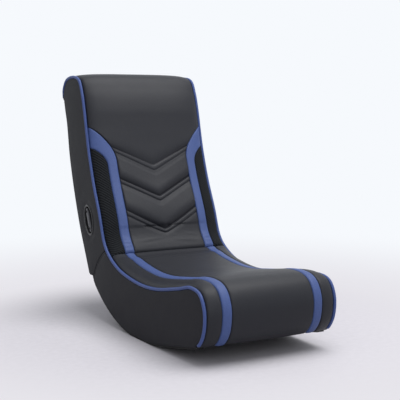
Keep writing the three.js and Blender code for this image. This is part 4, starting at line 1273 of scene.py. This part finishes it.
reach = np.sin(np.linspace(-np.pi / 2, np.pi / 2, 61))
taper = (1 - np.abs(reach) ** 4.5) ** 0.5
waist = 1 - 0.1 * np.cos(reach * np.pi / 2) ** 2
wide, thick = squircle(np.linspace(0, 2 * np.pi, 36, endpoint=False), 0.62)
spots = on_handle((reach * GRIP_HALF)[:, None], (taper * waist)[:, None] * wide * GRIP_WIDE,
                  GRIP_MIDDLE + (0.35 + 0.65 * taper)[:, None] * (taper > 0)[:, None] * thick * GRIP_THICK)
spots[[0, -1]] = spots[[0, -1]].mean(axis=1, keepdims=True)
handle_grip = closed("handle_grip", spots, grip_plastic)
SCREW_HEAD, HEAD_LEVEL, HEAD_DOME, HEAD_DEPTH = 4 * mm, 198.3 * mm, 0.7 * mm, 1.4 * mm
SCREW_SEAT = 4.4 * mm
RECESS_HALF, RECESS_REACH, RECESS_DEPTH = 0.55 * mm, 2.6 * mm, 0.9 * mm


def post(radii, outs, shift):
    """A round post, given by its two radii and the levels of its two ends."""
    profile = np.array([[0, outs[0]], [radii[0], outs[0]], [radii[1], outs[1]], [0, outs[1]]])
    return revolved(profile, 1.0, 40) + shift * ALONG


def screw(shift):
    """A pan head with a cross recess, and its shank: the head's height over a polar grid is a dome, less a
    cross where either of two axes is near."""
    ring = np.concatenate([np.linspace(0, 0.94, 26), [1, 1, 1]])[:, None]
    turn = np.linspace(0, 2 * np.pi, 64, endpoint=False)
    u, v = ring * np.cos(turn) * SCREW_HEAD, ring * np.sin(turn) * SCREW_HEAD
    slot = (np.minimum(np.abs(u), np.abs(v)) < RECESS_HALF) & (ring * SCREW_HEAD < RECESS_REACH)
    rise = HEAD_LEVEL + HEAD_DOME * (1 - ring**2) - slot * RECESS_DEPTH
    rise[-2:] = HEAD_LEVEL - HEAD_DEPTH
    shank = np.array([0.45, 0.45, 0.0])[:, None] * SCREW_HEAD
    drop = np.array([1.4, 15, 16])[:, None] * mm
    u, v = np.vstack([u, shank * np.cos(turn)]), np.vstack([v, shank * np.sin(turn)])
    return on_handle(u + shift, v, np.vstack([rise, HEAD_LEVEL - drop + 0 * turn]))


for name, shift in [("upper", BOSS_SHIFT), ("lower", -BOSS_SHIFT)]:
    cut(handle_grip, closed("cutter", post((SCREW_SEAT, SCREW_SEAT), (196.9 * mm, 203 * mm), shift), plastic))
    made = closed(f"handle_screw_{name}", screw(shift), dark_screw, sharp=35)
    rides(made, "back", "steel", f"handle_screw_{name}")
    boss = closed(f"handle_boss_{name}", post((7 * mm, 6.4 * mm), (174 * mm, 191.2 * mm), shift), plastic)
    rides(boss, "back", "black_plastic")
rides(handle_grip, "back", "black_plastic", "handle_grip")
print("handle made")

# %% [markdown]
# Lining cloth closes the back's rear face, both slanting faces and the underside. Each is stretched between
# the boards: a sheet whose middle sags a little, with a turned hem round it. All but the rear one show their
# staples.

# %% Linings
LINING, STAPLE_INSET = 1.5 * mm, 6 * mm
STAPLE_PITCH, STAPLE_LENGTH, STAPLE_RADIUS = 32 * mm, 10 * mm, 0.5 * mm
TURNED_HEM = np.array([0, 1, 5, 11, 12.5]) * mm


def lining_sheet(name, line, half, body, sag):
    """A sheet along a line of the side view, as thick as the lining towards the line's left. The middle sags
    to the left by a dome over both directions, and the outer 12 mm are doubled by the hem. Returns the four
    lines that its staples follow."""
    even = evened(line, 6 * mm)
    left = left_of(even)
    run = np.linspace(0, 1, len(even))[:, None]
    across = np.concatenate([-1 + TURNED_HEM / half, np.linspace(-0.9, 0.9, 41),
                             1 - TURNED_HEM[::-1] / half])[None]
    length = np.linalg.norm(np.diff(even, axis=0), axis=1).sum()
    border = np.minimum((1 - np.abs(across)) * half, np.minimum(run, 1 - run) * length)
    pull = np.sin(across * half / (19 * mm) + 1.3 * np.sin(run * length / (90 * mm)))
    dome = smooth(border / (60 * mm))
    lift = sag * dome + 0.5 * mm * pull * dome + 0.6 * mm * smooth((border - 10 * mm) / (3 * mm))
    top, under = (with_x(across * half, even[:, None] + left[:, None] * (lift + depth)[..., None])
                  for depth in (0, LINING))
    uv = np.stack(np.broadcast_arrays(across * half, run * length), axis=-1)
    made = rides(shell(name, top, under, uv, lining), body, "lining", name)
    2 * half
    facing = with_x(0.0, -left)
    place = STAPLE_INSET / half
    columns = [np.argmin(np.abs(across[0] - at)) for at in (-1 + place, 1 - place)]
    return ([(top[2:-2, column], facing[2:-2]) for column in columns]
            + [(top[row, 3:-3], np.tile(facing[row], (top.shape[1] - 6, 1))) for row in (1, -2)])


slant_start = 52 * mm / seam_arc
BOARD_OUTER = 194.7 * mm
sheets = [
    ("back_rear_cover", rear.at(np.linspace(0, rear.length, 200)), BOARD_OUTER, "back",
     ["back_top_rail", "back_middle_rail"], 2.5 * mm),
    ("back_bottom_cover", seam_run(slant_start, 1, 0.5 * mm, 60), BOARD_OUTER, "back",
     ["back_hinge_rail"], 0.8 * mm),
    ("seat_rear_cover", seam_run(1, slant_start, -0.5 * mm, 60), BOARD_OUTER, "seat",
     ["seat_hinge_rail"], 0.8 * mm),
    ("bottom_cover", rocker(0.002, 1, 120, 5 * mm), 172.4 * mm, "seat", ["seat_middle_rail"], 0.0),
]
for name, line, half, body, rests, sag in sheets:
    lines = lining_sheet(name, line, half, body, sag)
    if name != "back_rear_cover":
        staples = sewn(f"{name}_staples", lines, zinc, STAPLE_PITCH, STAPLE_LENGTH, STAPLE_RADIUS, 0.0)
        rides(staples, body, "steel")
print(len(sheets), "linings")

# %% [markdown]
# Leather bindings close the blocks' lower rear edges, and narrow ones the boards' slanting edges beside the
# hinges, so that no raw wood shows when the back folds.

# %% Bindings
BINDING, BINDING_STEP = 1.2 * mm, 1.5 * mm


def binding(name, line, low, high, body, thickness=BINDING):
    """A band along a line of the side view, between two places across, thick towards the line's left, or to
    its right where the thickness is negative."""
    even = evened(line, BINDING_STEP)
    left = left_of(even)
    x = np.linspace(low, high, max(round((high - low) / (5 * mm)), 3))[None]
    run = np.arange(len(even))[:, None] * BINDING_STEP
    swell = 0.12 * mm * np.sin(x / (6 * mm) + run / (9 * mm))
    grids = [with_x(x, even[:, None] + left[:, None] * depth[..., None])
             for depth in (swell, np.full(swell.shape, thickness))]
    uv = np.stack(np.broadcast_arrays(x, run), axis=-1)
    return rides(shell(name, *grids, uv, black_leather), body, "black_cover")


back_heel = np.vstack([seam_run(1, 1, 0.5 * mm, 1)[:1], heel, rear_line[:1]])
seat_heel = np.vstack([underside[-1:], seat_seam[:1]])
for body, line in [("back", back_heel), ("seat", seat_heel)]:
    binding(f"{body}_heel_binding", line, -BOARD_OUTER, BOARD_OUTER, body, -BINDING)
for name, side in SIDES:
    low, high = sorted([side * 178 * mm, side * BOARD_OUTER])
    binding(f"back_slant_binding_{name}", seam_run(0.1, slant_start, 0.5 * mm, 30), low, high, "back")
    binding(f"seat_slant_binding_{name}", seam_run(slant_start, 0.1, -0.5 * mm, 30), low, high, "seat")
print("bindings made")

# %% [markdown]
# Under the back's foam run four elastic webbing straps. They follow the same crown, further in.

# %% Webbing
WEBBING_FIRST, WEBBING_PITCH, WEBBING_WIDTH, WEBBING_HALF = 412 * mm, 95 * mm, 50 * mm, 185 * mm
WEBBING_DEPTH, WEBBING_THICKNESS = 22.5 * mm, 1.8 * mm
x = np.linspace(-WEBBING_HALF, WEBBING_HALF, 49)[None]
for i in range(4):
    run = np.linspace(0, WEBBING_WIDTH, 9)[:, None] + corner - WEBBING_FIRST + WEBBING_PITCH * i
    rise = np.minimum(crown(run, x), CREASE_SLOPE * np.abs(run - corner) + PIPING_RADIUS) - WEBBING_DEPTH
    spots = [with_x(x, edge.at(np.broadcast_to(run, rise.shape), rise - depth))
             for depth in (0.0, WEBBING_THICKNESS)]
    uv = np.stack(np.broadcast_arrays(x, run), axis=-1)
    made = shell(f"back_webbing_{i + 1}", *spots, uv, webbing)
    rides(made, "back", "webbing", f"back_webbing_{i + 1}")
print("webbing made")

# %% [markdown]
# The stage is a pale studio: a floor that fades into a white surround, one large soft lamp above the chair, a
# weaker one in front of it, and an even glow from all round. The floor shows the chair's shadow near it.
# Further out the eye sees a plain pale tone that lightens with the distance, and so does a reflection.

# %% Floor, lamps and surround
SURROUND = colour(246, 249, 253)
LAMP_AIM = Vector((0, 0, 0.3))
floor_paint = Paint("floor")
place = floor_paint.place()
distance = floor_paint.node("ShaderNodeVectorMath", {"operation": "LENGTH"}, {0: place}, out="Value")
fade, far = [floor_paint.node("ShaderNodeMapRange", {"interpolation_type": "SMOOTHSTEP"},
                              {"Value": distance, "From Min": start, "From Max": end})
             for start, end in [(0.38, 0.85), (0.5, 2.2)]]
speck = floor_paint.noise(place, 60.0, 4.0)
floor_paint.finish(floor_paint.blend(speck, colour(192, 189, 195), colour(208, 205, 211)), 0.6,
                   Specular_IOR_Level=0.2)
glow = floor_paint.node("ShaderNodeEmission", {},
                        {"Color": floor_paint.blend(far, colour(229, 227, 233), SURROUND), "Strength": 1.0})
plain = Signal(floor_paint, floor_paint.shader.outputs[0])
shade = floor_paint.node("ShaderNodeMixShader", {}, {0: fade * floor_paint.seen(), 1: plain, 2: glow})
floor_paint.tree.links.new(shade.socket, floor_paint.tree.nodes["Material Output"].inputs["Surface"])
FLOOR_HALF, FLOOR_LINES = 6, 13
axis = np.linspace(-FLOOR_HALF, FLOOR_HALF, FLOOR_LINES)
floor_x, floor_y = np.meshgrid(axis, axis, indexing="ij")
spots = np.stack([floor_x, floor_y, 0 * floor_x], axis=-1).reshape(-1, 3)
floor_mesh = bpy.data.meshes.new("floor")
floor_mesh.from_pydata(spots.tolist(), [], grid_faces(FLOOR_LINES, FLOOR_LINES)[:, ::-1].tolist())
floor_mesh.materials.append(floor_paint.material)
linked("floor", floor_mesh)

world = bpy.data.worlds.new("surround")
scene.world = world
world.use_nodes = True
sky = Tree(world.node_tree)
sky.tree.nodes.clear()
light = sky.node("ShaderNodeBackground", {}, {"Color": (0.95, 0.97, 1.0, 1.0), "Strength": 0.5})
backdrop = sky.node("ShaderNodeBackground", {}, {"Color": SURROUND})
mixed = sky.node("ShaderNodeMixShader", {}, {0: sky.seen(), 1: light, 2: backdrop})
end = sky.tree.nodes.new("ShaderNodeOutputWorld")
sky.tree.links.new(mixed.socket, end.inputs["Surface"])


def lamp(name, place, size, power, tone=(1, 1, 1)):
    """A round soft lamp that shines at the chair."""
    data = bpy.data.lights.new(name, "AREA")
    data.shape, data.size, data.energy, data.color = "DISK", size, power, tone
    made = bpy.data.objects.new(name, data)
    made.location = place
    made.rotation_euler = (LAMP_AIM - Vector(place)).to_track_quat("-Z", "Y").to_euler()
    scene.collection.objects.link(made)


lamp("key", (0.55, -0.7, 3.0), 3.0, 96)
lamp("fill", (-0.7, -2.7, 1.1), 1.8, 9, (0.94, 0.97, 1.0))
print("stage set")
